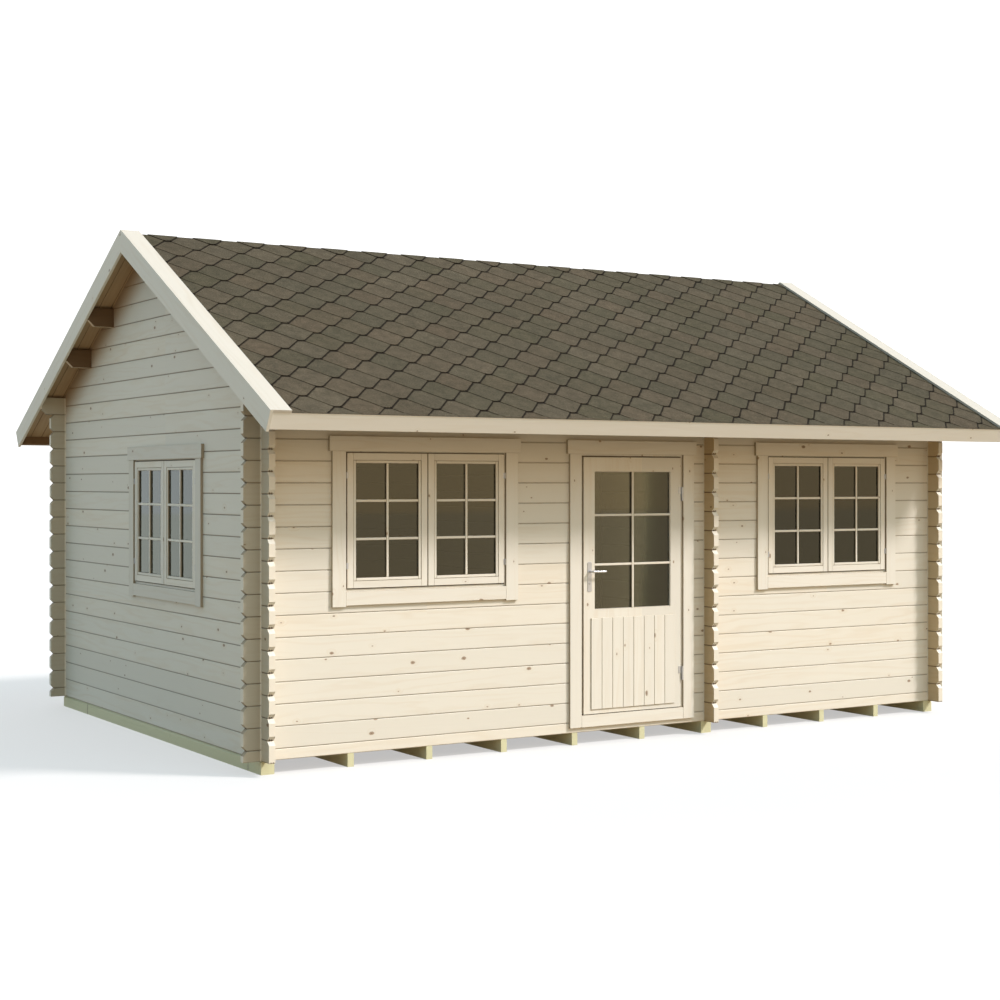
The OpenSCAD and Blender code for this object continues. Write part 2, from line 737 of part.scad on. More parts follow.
// Upright boards on both faces of the leaf's lower part
module door_panels() {
    board_w = (leaf_w - 2 * door_board_side) / door_boards_n;
    foot_z = leaf_z + door_board_foot;
    module boards() {
        for (i = [0:door_boards_n - 1])
            translate([leaf_x + door_board_side + i * board_w, 0, foot_z])
                cube([board_w - joint_gap, door_board_t, leaf_glass_z - door_board_top - foot_z]);
    }
    wood() {
        translate([0, leaf_y - door_board_t - seat_gap, 0]) boards();
        translate([0, leaf_y + leaf_t + seat_gap, 0]) boards();
    }
}

module door_glass() {
    inner = leaf_stile + seat_gap;
    glazing() translate([leaf_x + inner, leaf_y + (leaf_t - glass_t) / 2, leaf_glass_z + seat_gap])
        cube([leaf_w - 2 * inner, glass_t, leaf_glass_h - 2 * seat_gap]);
}

module door_plates() {
    metal() for (y = [leaf_y - seat_gap - plate_t, leaf_y + leaf_t + seat_gap])
        difference() {
            translate([lever_x - plate_w / 2, y, lever_z + plate_drop - plate_h])
                cube([plate_w, plate_t, plate_h]);
            translate([lever_x, y - over, lever_z]) rotate([-90, 0, 0])
                cylinder(r = neck_r + running_gap, h = plate_t + 2 * over);
        }
}

// Two grips on one spindle through the leaf
module door_lever() {
    spindle_r = 4;
    metal() {
        translate([lever_x, leaf_y - grip_out, lever_z]) rotate([-90, 0, 0])
            cylinder(r = spindle_r, h = leaf_t + 2 * grip_out);
        for (y = [leaf_y - grip_out, leaf_y + leaf_t]) {
            translate([lever_x, y, lever_z]) rotate([-90, 0, 0]) cylinder(r = neck_r, h = grip_out);
        }
        for (y = [leaf_y - grip_out, leaf_y + leaf_t + grip_out])
            translate([lever_x, y, lever_z]) {
                rotate([0, 90, 0]) cylinder(r = grip_r, h = grip_l);
                sphere(r = grip_r);
                translate([grip_l, 0, 0]) sphere(r = grip_r);
            }
    }
}

hinge_zs = [leaf_z + hinge_low, leaf_z + leaf_h - hinge_high];
hinge_play = 0.5;       // between the two halves of a hinge barrel
pin_share = 0.8;        // share of a barrel's upper half that its pin reaches into
foot_gap = 1;           // between a hinge's foot and the casing beside it
flange_t = 2.2;
flange_w = 22;

// Lower half of each hinge, with its pin, fixed to the frame
module hinge_pins() {
    web_t = 3;
    foot = door_reveal - hinge_out - foot_gap;
    foot_y = front_y - seat_gap;
    metal() for (z = hinge_zs) translate([hinge_x, 0, z - knuckle_h]) {
        translate([0, hinge_y, 0]) cylinder(r = knuckle_r, h = knuckle_h - hinge_play);
        translate([0, hinge_y, 0]) cylinder(r = pin_r, h = knuckle_h * (1 + pin_share));
        slab(-web_t / 2, web_t / 2, hinge_y, foot_y, 0, knuckle_h - hinge_play);
        slab(-web_t / 2, foot, foot_y - flange_t, foot_y, 0, knuckle_h - hinge_play);
    }
}

// Upper half of each hinge, fixed to the leaf
module hinge_knuckles() {
    back_y = leaf_y - seat_gap;
    metal() for (z = hinge_zs) translate([hinge_x, 0, z]) difference() {
        union() {
            translate([0, hinge_y, 0]) cylinder(r = knuckle_r, h = knuckle_h);
            slab(-hinge_out - flange_w, 0, back_y - flange_t, back_y, 0, knuckle_h);
        }
        translate([0, hinge_y, -over]) cylinder(r = pin_r + running_gap, h = knuckle_h + 2 * over);
    }
}

gable_bearers();
partition_bearers();
floor_joists();
floor_boards();
front_sill_log();
front_wall_left();
front_wall_right();
front_wall_top();
rear_wall();
left_gable_wall();
right_gable_wall();
partition_wall();
partition_casing();
ridge_purlin();
side_purlins();
front_roof_boards();
rear_roof_boards();
front_shingles();
rear_shingles();
ridge_cap();
front_fascia();
rear_fascia();
left_bargeboards();
right_bargeboards();
left_verge_covers();
right_verge_covers();
door_frame();
door_casing();
hinge_pins();
door_leaf();
door_panels();
door_glass();
door_plates();
hinge_knuckles();
door_lever();
left_window_frame();
left_window_sashes();
left_window_casing();
right_window_frame();
right_window_sashes();
right_window_casing();
gable_window_frame();
gable_window_sashes();
gable_window_casing();
window_glass();
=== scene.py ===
import itertools
import math
import random

import bpy
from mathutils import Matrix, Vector


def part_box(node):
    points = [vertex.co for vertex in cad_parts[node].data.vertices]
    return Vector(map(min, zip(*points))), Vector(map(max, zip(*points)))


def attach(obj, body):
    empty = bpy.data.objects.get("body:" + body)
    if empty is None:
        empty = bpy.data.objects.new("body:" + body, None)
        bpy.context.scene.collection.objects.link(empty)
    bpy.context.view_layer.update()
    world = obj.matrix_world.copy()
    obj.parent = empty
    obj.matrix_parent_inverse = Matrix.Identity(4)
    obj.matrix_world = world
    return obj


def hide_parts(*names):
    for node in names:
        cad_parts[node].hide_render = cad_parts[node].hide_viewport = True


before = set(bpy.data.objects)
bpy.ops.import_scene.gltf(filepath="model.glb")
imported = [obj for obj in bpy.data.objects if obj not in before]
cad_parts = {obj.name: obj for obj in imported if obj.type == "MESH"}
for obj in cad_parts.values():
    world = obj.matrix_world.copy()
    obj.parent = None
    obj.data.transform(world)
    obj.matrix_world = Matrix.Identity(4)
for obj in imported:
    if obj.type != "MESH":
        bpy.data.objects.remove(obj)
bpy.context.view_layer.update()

# -------- sizes, in metres, as in the CAD part
LOG_T = 0.045
PITCH = 0.145
BASE_Z = 0.09
LONG_Z = BASE_Z + PITCH / 2
LEFT_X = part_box("left_gable_wall")[0].x
RIGHT_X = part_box("right_gable_wall")[1].x
FRONT_Y = -2.065
PARTITION_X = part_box("partition_wall")[0].x
ANGLE = math.radians(28)
COS, SIN, TAN = math.cos(ANGLE), math.sin(ANGLE), math.tan(ANGLE)
APEX_Z = 3.7255
DECK_T, DECK_END = 0.028, 3.0187
FELT_FOOT, FELT_TOP, SHINGLE_TOP = 0.0283, 0.0335, 0.0417
EAVE_END = 3.0410
TRIM_X0, TRIM_X1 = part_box("front_roof_boards")[0].x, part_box("front_roof_boards")[1].x
COVER_X0, COVER_X1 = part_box("ridge_cap")[0].x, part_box("ridge_cap")[1].x
CASING_W, CASING_T, HEAD_EXTRA, HEAD_EAR = 0.101, 0.020, 0.004, 0.022
SEAT = 0.0003
SASH_MEMBER, SASH_T, SASH_PROUD, MEETING = 0.068, 0.036, 0.012, 0.003
WINDOW_W, WINDOW_H = 1.236, 0.908
LEAF_X0, LEAF_X1, LEAF_Z0, LEAF_Z1 = -0.523, 0.361, 0.2185, 2.0915
LEAF_FRONT, LEAF_BACK = -0.014, 0.024
LEAF_STILE, LEAF_GLASS_Z0, LEAF_GLASS_Z1, LEAF_BAR_Z = 0.096, 0.9795, 1.9875, (1.668, 1.306)
PANEL_SIDE, PANEL_FOOT, PANEL_TOP, PANEL_T = 0.060, 0.031, 0.9175, 0.008
DOOR_CASING_FOOT, DOOR_CASING_GAP = 0.12625, 0.022
DOORWAY_Y0, DOORWAY_Y1, DOORWAY_FOOT, DOORWAY_HEAD = -0.615, 0.235, 0.235, 2.12
LEVER_X, LEVER_Z = -0.473, 1.2575
PLATE_H, PLATE_ABOVE, PLATE_HALF, PLATE_T, PLATE_CORNER = 0.219, 0.070, 0.019, 0.003, 0.012
BAR_HALF = 0.0088       # half the height or width of a glazing bar
JOINT = 0.0002          # half the gap drawn between two pieces of joinery
random.seed(7)


# -------- mesh helpers
def in_place(p):
    return p


def on_front(p):
    """Local x along the front wall, y from its outer face inwards, z up."""
    return Vector((p[0], FRONT_Y + p[1], p[2]))


def on_gable(p):
    """Local x along the left gable towards the back, y from its outer face inwards, z up."""
    return Vector((LEFT_X + p[1], p[0], p[2]))


def on_partition(p):
    """Local x along the partition towards the back, y from its left face inwards, z up."""
    return Vector((PARTITION_X + p[1], p[0], p[2]))


def slope_place(side):
    """Local x along the ridge, y down the slope from it, z square to the slope from the boards' underside."""
    def place(p):
        x, s, n = p
        return Vector((x, side * (-s * COS - n * SIN), APEX_Z - s * SIN + n * COS))
    return place


# name, wall, and lower left corner of the pair of sashes
WINDOWS = (
    ("left_window", on_front, -2.439, 1.1965),
    ("right_window", on_front, 1.224, 1.1965),
    ("gable_window", on_gable, -0.956, 1.157),
)
CORNERS = list(itertools.product((0, 1), repeat=3))


class Parts:
    """Collects boards and plates for one piece, with the coordinates their material reads."""

    def __init__(self):
        self.verts, self.faces, self.grain, self.tone, self.mats, self.edge = [], [], [], [], [], []

    def add(self, verts, faces, grain, tone, centre=None, mat=0, edge=None):
        """Faces of a convex body are turned to face away from centre."""
        n = len(self.verts)
        self.verts += [Vector(v) for v in verts]
        self.grain += grain
        self.tone += [tone] * len(verts)
        self.edge += edge or [0.0] * len(verts)
        for f in faces:
            if centre is not None:
                a, b, c = (Vector(verts[i]) for i in f[:3])
                mid = sum((Vector(verts[i]) for i in f), Vector()) / len(f)
                if (b - a).cross(c - b).dot(mid - centre) < 0:
                    f = f[::-1]
            self.faces.append([n + i for i in f])
            self.mats.append(mat)

    def box(self, lo, hi, axis, place=in_place, cut=0.0012, warp=None, mat=0):
        """A board with chamfered edges; axis is the way its grain runs."""
        lo, hi = Vector(lo), Vector(hi)
        cut = min([cut] + [(hi[i] - lo[i]) * 0.45 for i in range(3)])
        shift = Vector((random.uniform(0, 50), random.uniform(0, 50), random.uniform(0, 50)))
        tone = random.random()
        across = [i for i in range(3) if i != axis]
        if hi[across[0]] - lo[across[0]] < hi[across[1]] - lo[across[1]]:
            across.reverse()
        index, raw, edge = {}, [], []
        for s in CORNERS:
            for face in range(3):
                p = [hi[i] if s[i] else lo[i] for i in range(3)]
                for i in range(3):
                    if i != face:
                        p[i] += -cut if s[i] else cut
                index[s, face] = len(raw)
                raw.append(Vector(warp(p) if warp else p))
                # edge is 1 except on the broad faces; the material paints shade where it is 1
                edge.append(0.0 if face == across[1] else 1.0)
        faces = []
        for a in range(3):
            b, c = [i for i in range(3) if i != a]
            for sa in (0, 1):
                ring = []
                for sb, sc in ((0, 0), (1, 0), (1, 1), (0, 1)):
                    s = [0, 0, 0]
                    s[a], s[b], s[c] = sa, sb, sc
                    ring.append(index[tuple(s), a])
                faces.append(ring)
        for a, b, c in ((0, 1, 2), (0, 2, 1), (1, 2, 0)):
            for sa in (0, 1):
                for sb in (0, 1):
                    s0, s1 = [0, 0, 0], [0, 0, 0]
                    s0[a] = s1[a] = sa
                    s0[b] = s1[b] = sb
                    s1[c] = 1
                    s0, s1 = tuple(s0), tuple(s1)
                    faces.append([index[s0, a], index[s1, a], index[s1, b], index[s0, b]])
        for s in CORNERS:
            faces.append([index[s, 0], index[s, 1], index[s, 2]])
        grain = [Vector((p[axis], p[across[0]], p[across[1]])) + shift for p in raw]
        verts = [place(p) for p in raw]
        self.add(verts, faces, grain, tone, sum(verts, Vector()) / len(verts), mat, edge)

    def prism(self, ring, place, low, high, local, tone, mat=0):
        """A plate over a convex outline of (x, s); low and high give its heights at a point."""
        n = len(ring)
        top = [place((x, s, high(x, s))) for x, s in ring]
        foot = [place((x, s, low(x, s))) for x, s in ring]
        verts = top + foot
        faces = [list(range(n)), list(range(n, 2 * n))]
        faces += [[i, (i + 1) % n, n + (i + 1) % n, n + i] for i in range(n)]
        grain = [local(x, s, 1) for x, s in ring] + [local(x, s, 0) for x, s in ring]
        self.add(verts, faces, grain, tone, sum(verts, Vector()) / len(verts), mat)

    def make(self, name, mats, body="cabin", replaces=(), smooth=False):
        mesh = bpy.data.meshes.new(name)
        mesh.from_pydata([tuple(v) for v in self.verts], [], self.faces)
        grain = mesh.attributes.new("grain", "FLOAT_VECTOR", "POINT")
        grain.data.foreach_set("vector", [c for v in self.grain for c in v])
        for key, values in (("tone", self.tone), ("edge", self.edge)):
            mesh.attributes.new(key, "FLOAT", "POINT").data.foreach_set("value", values)
        for m in mats:
            mesh.materials.append(m)
        mesh.polygons.foreach_set("material_index", self.mats)
        mesh.polygons.foreach_set("use_smooth", [smooth] * len(self.faces))
        mesh.update()
        mesh.validate()
        obj = bpy.data.objects.new(name, mesh)
        bpy.context.scene.collection.objects.link(obj)
        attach(obj, body)
        if replaces:
            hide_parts(*replaces)
        return obj


def clip(ring, axis, limit, keep_low):
    """The part of a convex outline on one side of a line."""
    out = []
    for i, p in enumerate(ring):
        q = ring[(i + 1) % len(ring)]
        a = p[axis] - limit if keep_low else limit - p[axis]
        b = q[axis] - limit if keep_low else limit - q[axis]
        if a <= 0:
            out.append(p)
        if (a < 0 < b) or (b < 0 < a):
            t = a / (a - b)
            out.append((p[0] + (q[0] - p[0]) * t, p[1] + (q[1] - p[1]) * t))
    return out


# -------- node helpers
class Nodes:
    """One material or world, with short calls for the nodes that it is built of."""

    def __init__(self, name, kind="Material"):
        self.mat = (bpy.data.worlds if kind == "World" else bpy.data.materials).new(name)
        self.mat.use_nodes = True
        self.nt = self.mat.node_tree
        self.nt.nodes.clear()
        self.out = self.new("ShaderNodeOutput" + kind)

    def new(self, kind, **props):
        node = self.nt.nodes.new(kind)
        for k, v in props.items():
            setattr(node, k, v)
        return node

    def put(self, socket, value):
        if isinstance(value, bpy.types.NodeSocket):
            self.nt.links.new(value, socket)
        elif isinstance(value, (int, float)):
            socket.default_value = value
        else:
            v = tuple(value)
            socket.default_value = v if len(v) == len(socket.default_value) else v + (1.0,)

    def math(self, op, a, b=0.0, c=0.0, clamp=False):
        n = self.new("ShaderNodeMath", operation=op, use_clamp=clamp)
        for s, v in zip(n.inputs, (a, b, c)):
            self.put(s, v)
        return n.outputs[0]

    def add(self, a, b):
        return self.math("ADD", a, b)

    def sub(self, a, b):
        return self.math("SUBTRACT", a, b)

    def mul(self, a, b):
        return self.math("MULTIPLY", a, b)

    def most(self, a, b):
        return self.math("MAXIMUM", a, b)

    def scale_add(self, value, factor, offset, clamp=False):
        return self.math("MULTIPLY_ADD", value, factor, offset, clamp)

    def smooth(self, value, a, b, lo=0.0, hi=1.0):
        """lo below a, hi above b, and a smooth step between them."""
        n = self.new("ShaderNodeMapRange", interpolation_type="SMOOTHSTEP")
        for k, v in (("Value", value), ("From Min", a), ("From Max", b), ("To Min", lo), ("To Max", hi)):
            self.put(n.inputs[k], v)
        return n.outputs[0]

    def fall(self, value, a, b):
        return self.smooth(value, a, b, 1.0, 0.0)

    def vec(self, op, a, b=(0, 0, 0)):
        n = self.new("ShaderNodeVectorMath", operation=op)
        self.put(n.inputs[0], a)
        self.put(n.inputs[1], b)
        return n.outputs["Value"] if op in ("LENGTH", "DOT_PRODUCT") else n.outputs[0]

    def split(self, v):
        n = self.new("ShaderNodeSeparateXYZ")
        self.put(n.inputs[0], v)
        return n.outputs[0], n.outputs[1], n.outputs[2]

    def join(self, x, y, z):
        n = self.new("ShaderNodeCombineXYZ")
        for s, v in zip(n.inputs, (x, y, z)):
            self.put(s, v)
        return n.outputs[0]

    def mix(self, fac, a, b, blend="MIX"):
        n = self.new("ShaderNodeMix", data_type="RGBA", blend_type=blend)
        self.put(n.inputs[0], fac)
        self.put(n.inputs[6], a)
        self.put(n.inputs[7], b)
        return n.outputs[2]

    def noise(self, v, scale=1.0, detail=2.0, rough=0.5):
        n = self.new("ShaderNodeTexNoise")
        self.put(n.inputs["Vector"], v)
        self.put(n.inputs["Scale"], scale)
        self.put(n.inputs["Detail"], detail)
        self.put(n.inputs["Roughness"], rough)
        return n.outputs["Fac"]

    def white(self, value):
        n = self.new("ShaderNodeTexWhiteNoise", noise_dimensions="1D")
        self.put(n.inputs["W"], value)
        return n.outputs["Value"], n.outputs["Color"]

    def object_place(self):
        n = self.new("ShaderNodeTexCoord")
        return n.outputs["Object"], n.outputs["Normal"]

    def attribute(self, name):
        n = self.new("ShaderNodeAttribute", attribute_name=name)
        return n.outputs["Vector"], n.outputs["Fac"]

    def surface(self, color, rough, bump=None, distance=0.001, strength=0.3, metallic=0.0, specular=0.5):
        b = self.new("ShaderNodeBsdfPrincipled")
        self.put(b.inputs["Base Color"], color)
        self.put(b.inputs["Roughness"], rough)
        b.inputs["Metallic"].default_value = metallic
        b.inputs["Specular IOR Level"].default_value = specular
        if bump is not None:
            n = self.new("ShaderNodeBump")
            n.inputs["Strength"].default_value = strength
            n.inputs["Distance"].default_value = distance
            self.put(n.inputs["Height"], bump)
            self.put(b.inputs["Normal"], n.outputs[0])
        self.show(b.outputs[0])

    def shader(self, kind, color, **inputs):
        n = self.new(kind)
        for k, v in dict(inputs, Color=color).items():
            self.put(n.inputs[k], v)
        return n.outputs[0]

    def blend(self, fac, a, b):
        """A shader between two others."""
        n = self.new("ShaderNodeMixShader")
        for s, v in zip(n.inputs, (fac, a, b)):
            self.put(s, v)
        return n.outputs[0]

    def show(self, shader):
        self.put(self.out.inputs["Surface"], shader)


# -------- wood
PINE_L, PINE_D = (0.860, 0.830, 0.730), (0.780, 0.700, 0.560)
TRIM_L, TRIM_D = (0.870, 0.840, 0.745), (0.790, 0.715, 0.580)
COVER_TINT = (0.745, 0.715, 0.695)
# the gable's casing boards are a darker copy of the trim: painted shade
GABLE_SHADE = (0.87, 0.87, 0.87)
KNOT = (0.30, 0.20, 0.12)
KNOT_CELL_U, KNOT_CELL_V = 0.36, 0.105      # along the grain and across it
GAP_SHADOW_IN = 0.030                             # from a wall's face to the painted shadow strip in a frame


def scaled(color, by):
    """A colour times one number, or times a number for each channel."""
    return [c * f for c, f in zip(color, by if isinstance(by, tuple) else (by, by, by))]


class Timber(Nodes):
    """Planed softwood.

    place is ("board",), ("log", axis, first joint, seed, split or None, outer face),
    ("slope", seed), or ("plain", axis, seed, axis on which the pieces follow, pieces per metre).
    """

    def __init__(self, name, place, light, dark):
        super().__init__(name)
        self.kind, self.light, self.dark = place[0], light, dark
        self.along_end = None
        if self.kind == "board":
            self.p, _ = self.attribute("grain")
            _, self.tone = self.attribute("tone")
            return
        obj, normal = self.object_place()
        self.xyz = x, y, z = self.split(obj)
        self.normal = self.split(normal)
        if self.kind == "log":
            _, self.axis, self.first, seed, split, self.face = place
            self.u, self.w = (x, y) if self.axis == 0 else (y, x)
            key = self.add(self.math("FLOOR", self.math("DIVIDE", self.sub(z, self.first), PITCH)), seed)
            if split:
                past = self.math("GREATER_THAN", self.u, split[0])
                above = self.math("GREATER_THAN", z, split[1])
                key = self.add(key, self.mul(self.mul(past, above), 61.7))
            local = self.join(self.u, z, self.w)
            self.along_end = self.math("ABSOLUTE", self.normal[self.axis])
        elif self.kind == "slope":
            ay, dz = self.math("ABSOLUTE", y), self.sub(z, APEX_Z)
            s = self.sub(self.mul(ay, COS), self.mul(dz, SIN))
            n = self.add(self.mul(ay, SIN), self.mul(dz, COS))
            rear, right = self.math("GREATER_THAN", y, 0.0), self.math("GREATER_THAN", x, 0.0)
            key = self.add(self.add(self.mul(rear, 3.0), self.mul(right, 7.0)), place[1])
            local = self.join(s, n, x)
        else:
            _, axis, seed, row, per_metre = place
            key = self.add(self.math("FLOOR", self.mul(self.xyz[row], per_metre)), seed)
            local = self.join(*((x, z, y), (y, x, z), (z, x, y))[axis])
            self.along_end = self.math("ABSOLUTE", self.normal[axis])
        self.tone, shift = self.white(key)
        self.p = self.vec("ADD", local, self.vec("MULTIPLY", shift, (40.0, 31.0, 23.0)))

    def paint(self, amount, color):
        self.color = self.mix(amount, self.color, color)

    def tint(self, amount, by):
        self.paint(amount, self.mix(1.0, self.color, by, "MULTIPLY"))

    def stretched(self, along, across, detail=2.0, rough=0.5):
        return self.noise(self.vec("MULTIPLY", self.p, (along, across, across)), 1.0, detail, rough)

    def grain(self, knots, knot, spread, warm):
        # knots: one spot in some cells of a grid, stretched a little along the grain
        q = self.vec("MULTIPLY", self.p, (1 / KNOT_CELL_U, 1 / KNOT_CELL_V, 0.0))
        cells = self.new("ShaderNodeTexVoronoi", voronoi_dimensions="2D")
        self.put(cells.inputs["Vector"], q)
        cells.inputs["Scale"].default_value = 1.0
        away = self.vec("SUBTRACT", q, cells.outputs["Position"])
        away = self.vec("MULTIPLY", away, (KNOT_CELL_U / 1.7, KNOT_CELL_V, 0.0))
        chance, bulk, _ = self.split(cells.outputs["Color"])
        wobble = self.mul(self.sub(self.noise(self.p, 90.0, 2.0), 0.5), 0.006)
        dist = self.add(self.vec("LENGTH", away), wobble)
        there = self.math("LESS_THAN", chance, knots)
        size = self.scale_add(self.mul(bulk, bulk), 0.0085, 0.0024)
        outside = self.sub(dist, size)
        spot = self.mul(self.fall(outside, -0.0015, 0.0030), there)
        halo = self.mul(self.fall(outside, 0.0, 0.028), there)
        core = self.mul(self.fall(self.sub(dist, self.mul(size, 0.45)), -0.002, 0.001), there)
        # growth rings, bent round the knots
        _, self.pv, self.pw = self.split(self.p)
        bend = self.stretched(0.55, 5.0, 3.0, 0.55)
        phase = self.scale_add(bend, 46.0, self.mul(self.add(self.pv, self.pw), 95.0))
        phase = self.scale_add(halo, 9.0, phase)
        self.ring = self.math("POWER", self.scale_add(self.math("SINE", phase), 0.5, 0.5), 2.2)
        self.fade = self.stretched(1.3, 14.0)
        self.fibre = self.stretched(9.0, 420.0)
        amount = self.mul(self.mul(self.ring, self.smooth(self.fade, 0.25, 0.75, 0.25, 1.0)), 0.42)
        for part, share in ((self.fibre, 0.30), (self.stretched(1.1, 4.5), 0.55), (self.tone, warm)):
            amount = self.add(amount, self.mul(self.sub(part, 0.5), share))
        self.amount = self.scale_add(halo, 0.28, amount, clamp=True)
        self.color = self.mix(self.amount, self.light, self.dark)
        shade = self.scale_add(self.tone, spread, 1.0 - spread)
        self.tint(1.0, self.join(shade, shade, shade))
        self.paint(self.mul(spot, 0.80), knot)
        self.paint(self.mul(core, 0.5), scaled(knot, 0.45))

    def sawn_end(self):
        """Rings across the ends, in a slightly different tone."""
        row = self.mul(self.math("FLOOR", self.mul(self.pv, 7.0)), 1 / 7.0)
        radius = self.vec("LENGTH", self.join(0.0, self.sub(self.pv, row), self.pw))
        arcs = self.scale_add(self.math("SINE", self.mul(radius, 1400.0)), 0.5, 0.5)
        amount = self.scale_add(arcs, 0.35, self.mul(self.fade, 0.4))
        end = self.mix(amount, scaled(self.light, 1.02), scaled(self.dark, 0.98))
        self.paint(self.smooth(self.along_end, 0.75, 0.95), end)

    def end_void_shades(self):
        """Two dark spots at each joint between the log ends: painted shade in the voids of the tongue and
        groove.
        """
        joint = self.math("WRAP", self.sub(self.xyz[2], self.first), PITCH / 2, -PITCH / 2)
        over = self.sub(self.math("ABSOLUTE", self.sub(self.w, self.face + LOG_T / 2)), 0.0078)
        dist = self.vec("LENGTH", self.join(over, self.mul(self.sub(joint, 0.0035), 0.7), 0.0))
        void_shade = self.mul(self.fall(dist, 0.0030, 0.0050), self.smooth(self.along_end, 0.45, 0.6))
        self.paint(self.mul(void_shade, 0.93), (0.030, 0.020, 0.010))

    def joints(self, depth):
        """The grooves between the courses drawn dark as painted shade, and a faint painted shade over them.
        """
        above = self.math("FRACT", self.math("DIVIDE", self.sub(self.xyz[2], self.first), PITCH))
        above = self.mul(above, PITCH)
        below = self.fall(self.sub(PITCH, above), 0.0005, 0.0035)
        seam = self.most(self.fall(above, 0.0025, 0.0085), below)
        self.paint(self.mul(self.fall(above, 0.0, 0.022), 0.10), scaled(self.dark, 0.5))
        self.paint(self.mul(seam, depth), (0.16, 0.10, 0.045))

    def shade_past_corners(self, lo, hi, tint):
        """Painted shade on the flanks of the log ends past the crossing walls, and on the cut corners of the
        long ones.
        """
        before = self.fall(self.u, lo - 0.012, lo - 0.002)
        past = self.most(before, self.smooth(self.u, hi + 0.002, hi + 0.012))
        flank = self.fall(self.along_end, *((0.80, 0.95) if self.axis == 0 else (0.40, 0.70)))
        self.tint(self.mul(past, flank), tint)
        if self.axis == 0:
            facet = self.mul(self.smooth(self.along_end, 0.4, 0.6), self.fall(self.along_end, 0.85, 0.95))
            self.tint(facet, (0.78, 0.70, 0.60))

    def under_roof(self):
        """Painted shade in a warm tone close under the roof, stronger towards the back."""
        _, y, z = self.xyz
        reach = self.sub(self.mul(self.math("ABSOLUTE", y), -SIN), self.mul(self.sub(z, APEX_Z), COS))
        deep = self.mul(self.smooth(reach, 0.0, 0.30, 0.85, 0.0), self.smooth(y, -0.6, 0.4, 0.62, 1.0))
        self.paint(deep, (0.33, 0.205, 0.105))

    def gap_shadow(self, axis, sides, start):
        """A painted shadow strip in a frame, in the gap round the leaf or the sashes."""
        x, y, z = self.xyz
        u, depth = (x, y) if axis == 0 else (y, x)
        u0, u1, z0, z1 = sides
        away = self.most(self.sub(u0, u), self.sub(u, u1))
        away = self.most(away, self.most(self.sub(z0, z), self.sub(z, z1)))
        strip = self.mul(self.fall(away, 0.005, 0.009), self.fall(depth, start, start + 0.004))
        self.paint(self.mul(strip, 0.80), (0.105, 0.065, 0.036))


def wood(name, place, light, dark, knots=0.32, knot=KNOT, spread=0.10, warm=0.5, seam_depth=0.5,
         ends=None, gap_shadow=None, sides=0.5, lit=None, inner=None, top=None):
    """lit is the tone of undersides, lighter than the painted shade elsewhere; inner paints shade on faces
    towards the ridge; top tints upper faces.

    sides paints shade on the narrow faces of boards.
    """
    m = Timber(name, place, light, dark)
    m.grain(knots, knot, spread, warm)
    if m.along_end is not None:
        m.sawn_end()
    if m.kind == "log":
        m.end_void_shades()
        m.joints(seam_depth)
        m.shade_past_corners(*ends)
        if m.axis == 1:
            m.under_roof()
    if lit:
        underside = m.fall(m.normal[2], -0.75, -0.5)
        m.paint(m.mul(underside, 0.9), m.mix(m.amount, lit, scaled(lit, 0.8)))
    if top:
        m.tint(m.smooth(m.normal[2], 0.5, 0.7), top)
    if inner:
        m.paint(m.math("LESS_THAN", m.mul(m.xyz[1], m.normal[1]), -0.5), inner)
    if gap_shadow:
        m.gap_shadow(*gap_shadow)
    if m.kind == "board":
        _, edge = m.attribute("edge")
        m.paint(m.mul(edge, sides), scaled(dark, (0.42, 0.36, 0.28)))
    height = m.add(m.mul(m.fibre, 0.5), m.mul(m.ring, 0.35))
    m.surface(m.color, m.scale_add(m.fibre, 0.14, 0.55), height, 0.0006, 0.5, specular=0.35)
    return m.mat


def repaint(node, mat, edge=0.0):
    """Give a CAD node a material, and where edge is more than 0, edges rounded to that width."""
    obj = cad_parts[node]
    if not obj.data.materials:
        obj.data.materials.append(mat)
    for s in obj.material_slots:
        s.link = "OBJECT"
        s.material = mat
    if edge:
        bevel = obj.modifiers.new("edges", "BEVEL")
        bevel.width = edge
        bevel.segments = 2
        bevel.limit_method = "ANGLE"
        bevel.angle_limit = math.radians(40)
        bevel.use_clamp_overlap = True


LONG_FLANK_SHADE = (0.59, 0.57, 0.52)
# node, axis, seed, split, painted shade on the flanks past the corners, depth of the seams' painted shade
# (less on the long walls, whose front is in sun), outer face
LOGS = (
    ("front_sill_log", 0, 3.0, None, LONG_FLANK_SHADE, 0.50, FRONT_Y),
    ("front_wall_left", 0, 20.0, (-1.82, 1.0), LONG_FLANK_SHADE, 0.50, FRONT_Y),
    ("front_wall_right", 0, 71.0, (1.842, 1.0), LONG_FLANK_SHADE, 0.50, FRONT_Y),
    ("front_wall_top", 0, 120.0, None, LONG_FLANK_SHADE, 0.50, FRONT_Y),
    ("rear_wall", 0, 170.0, None, LONG_FLANK_SHADE, 0.50, -FRONT_Y - LOG_T),
    ("left_gable_wall", 1, 220.0, (-0.34, 1.0), (0.80, 0.75, 0.67), 0.72, LEFT_X),
    ("right_gable_wall", 1, 270.0, None, (0.72, 0.60, 0.43), 0.72, RIGHT_X - LOG_T),
    ("partition_wall", 1, 320.0, None, (0.66, 0.53, 0.36), 0.72, PARTITION_X),
)
for n, axis, seed, split, tint, depth, face in LOGS:
    first, lo, hi = ((LONG_Z, LEFT_X, RIGHT_X), (BASE_Z, FRONT_Y, -FRONT_Y))[axis]
    place = ("log", axis, first, seed, split, face)
    repaint(n, wood("pine_" + n, place, PINE_L, PINE_D, seam_depth=depth, ends=(lo, hi, tint), warm=0.6))
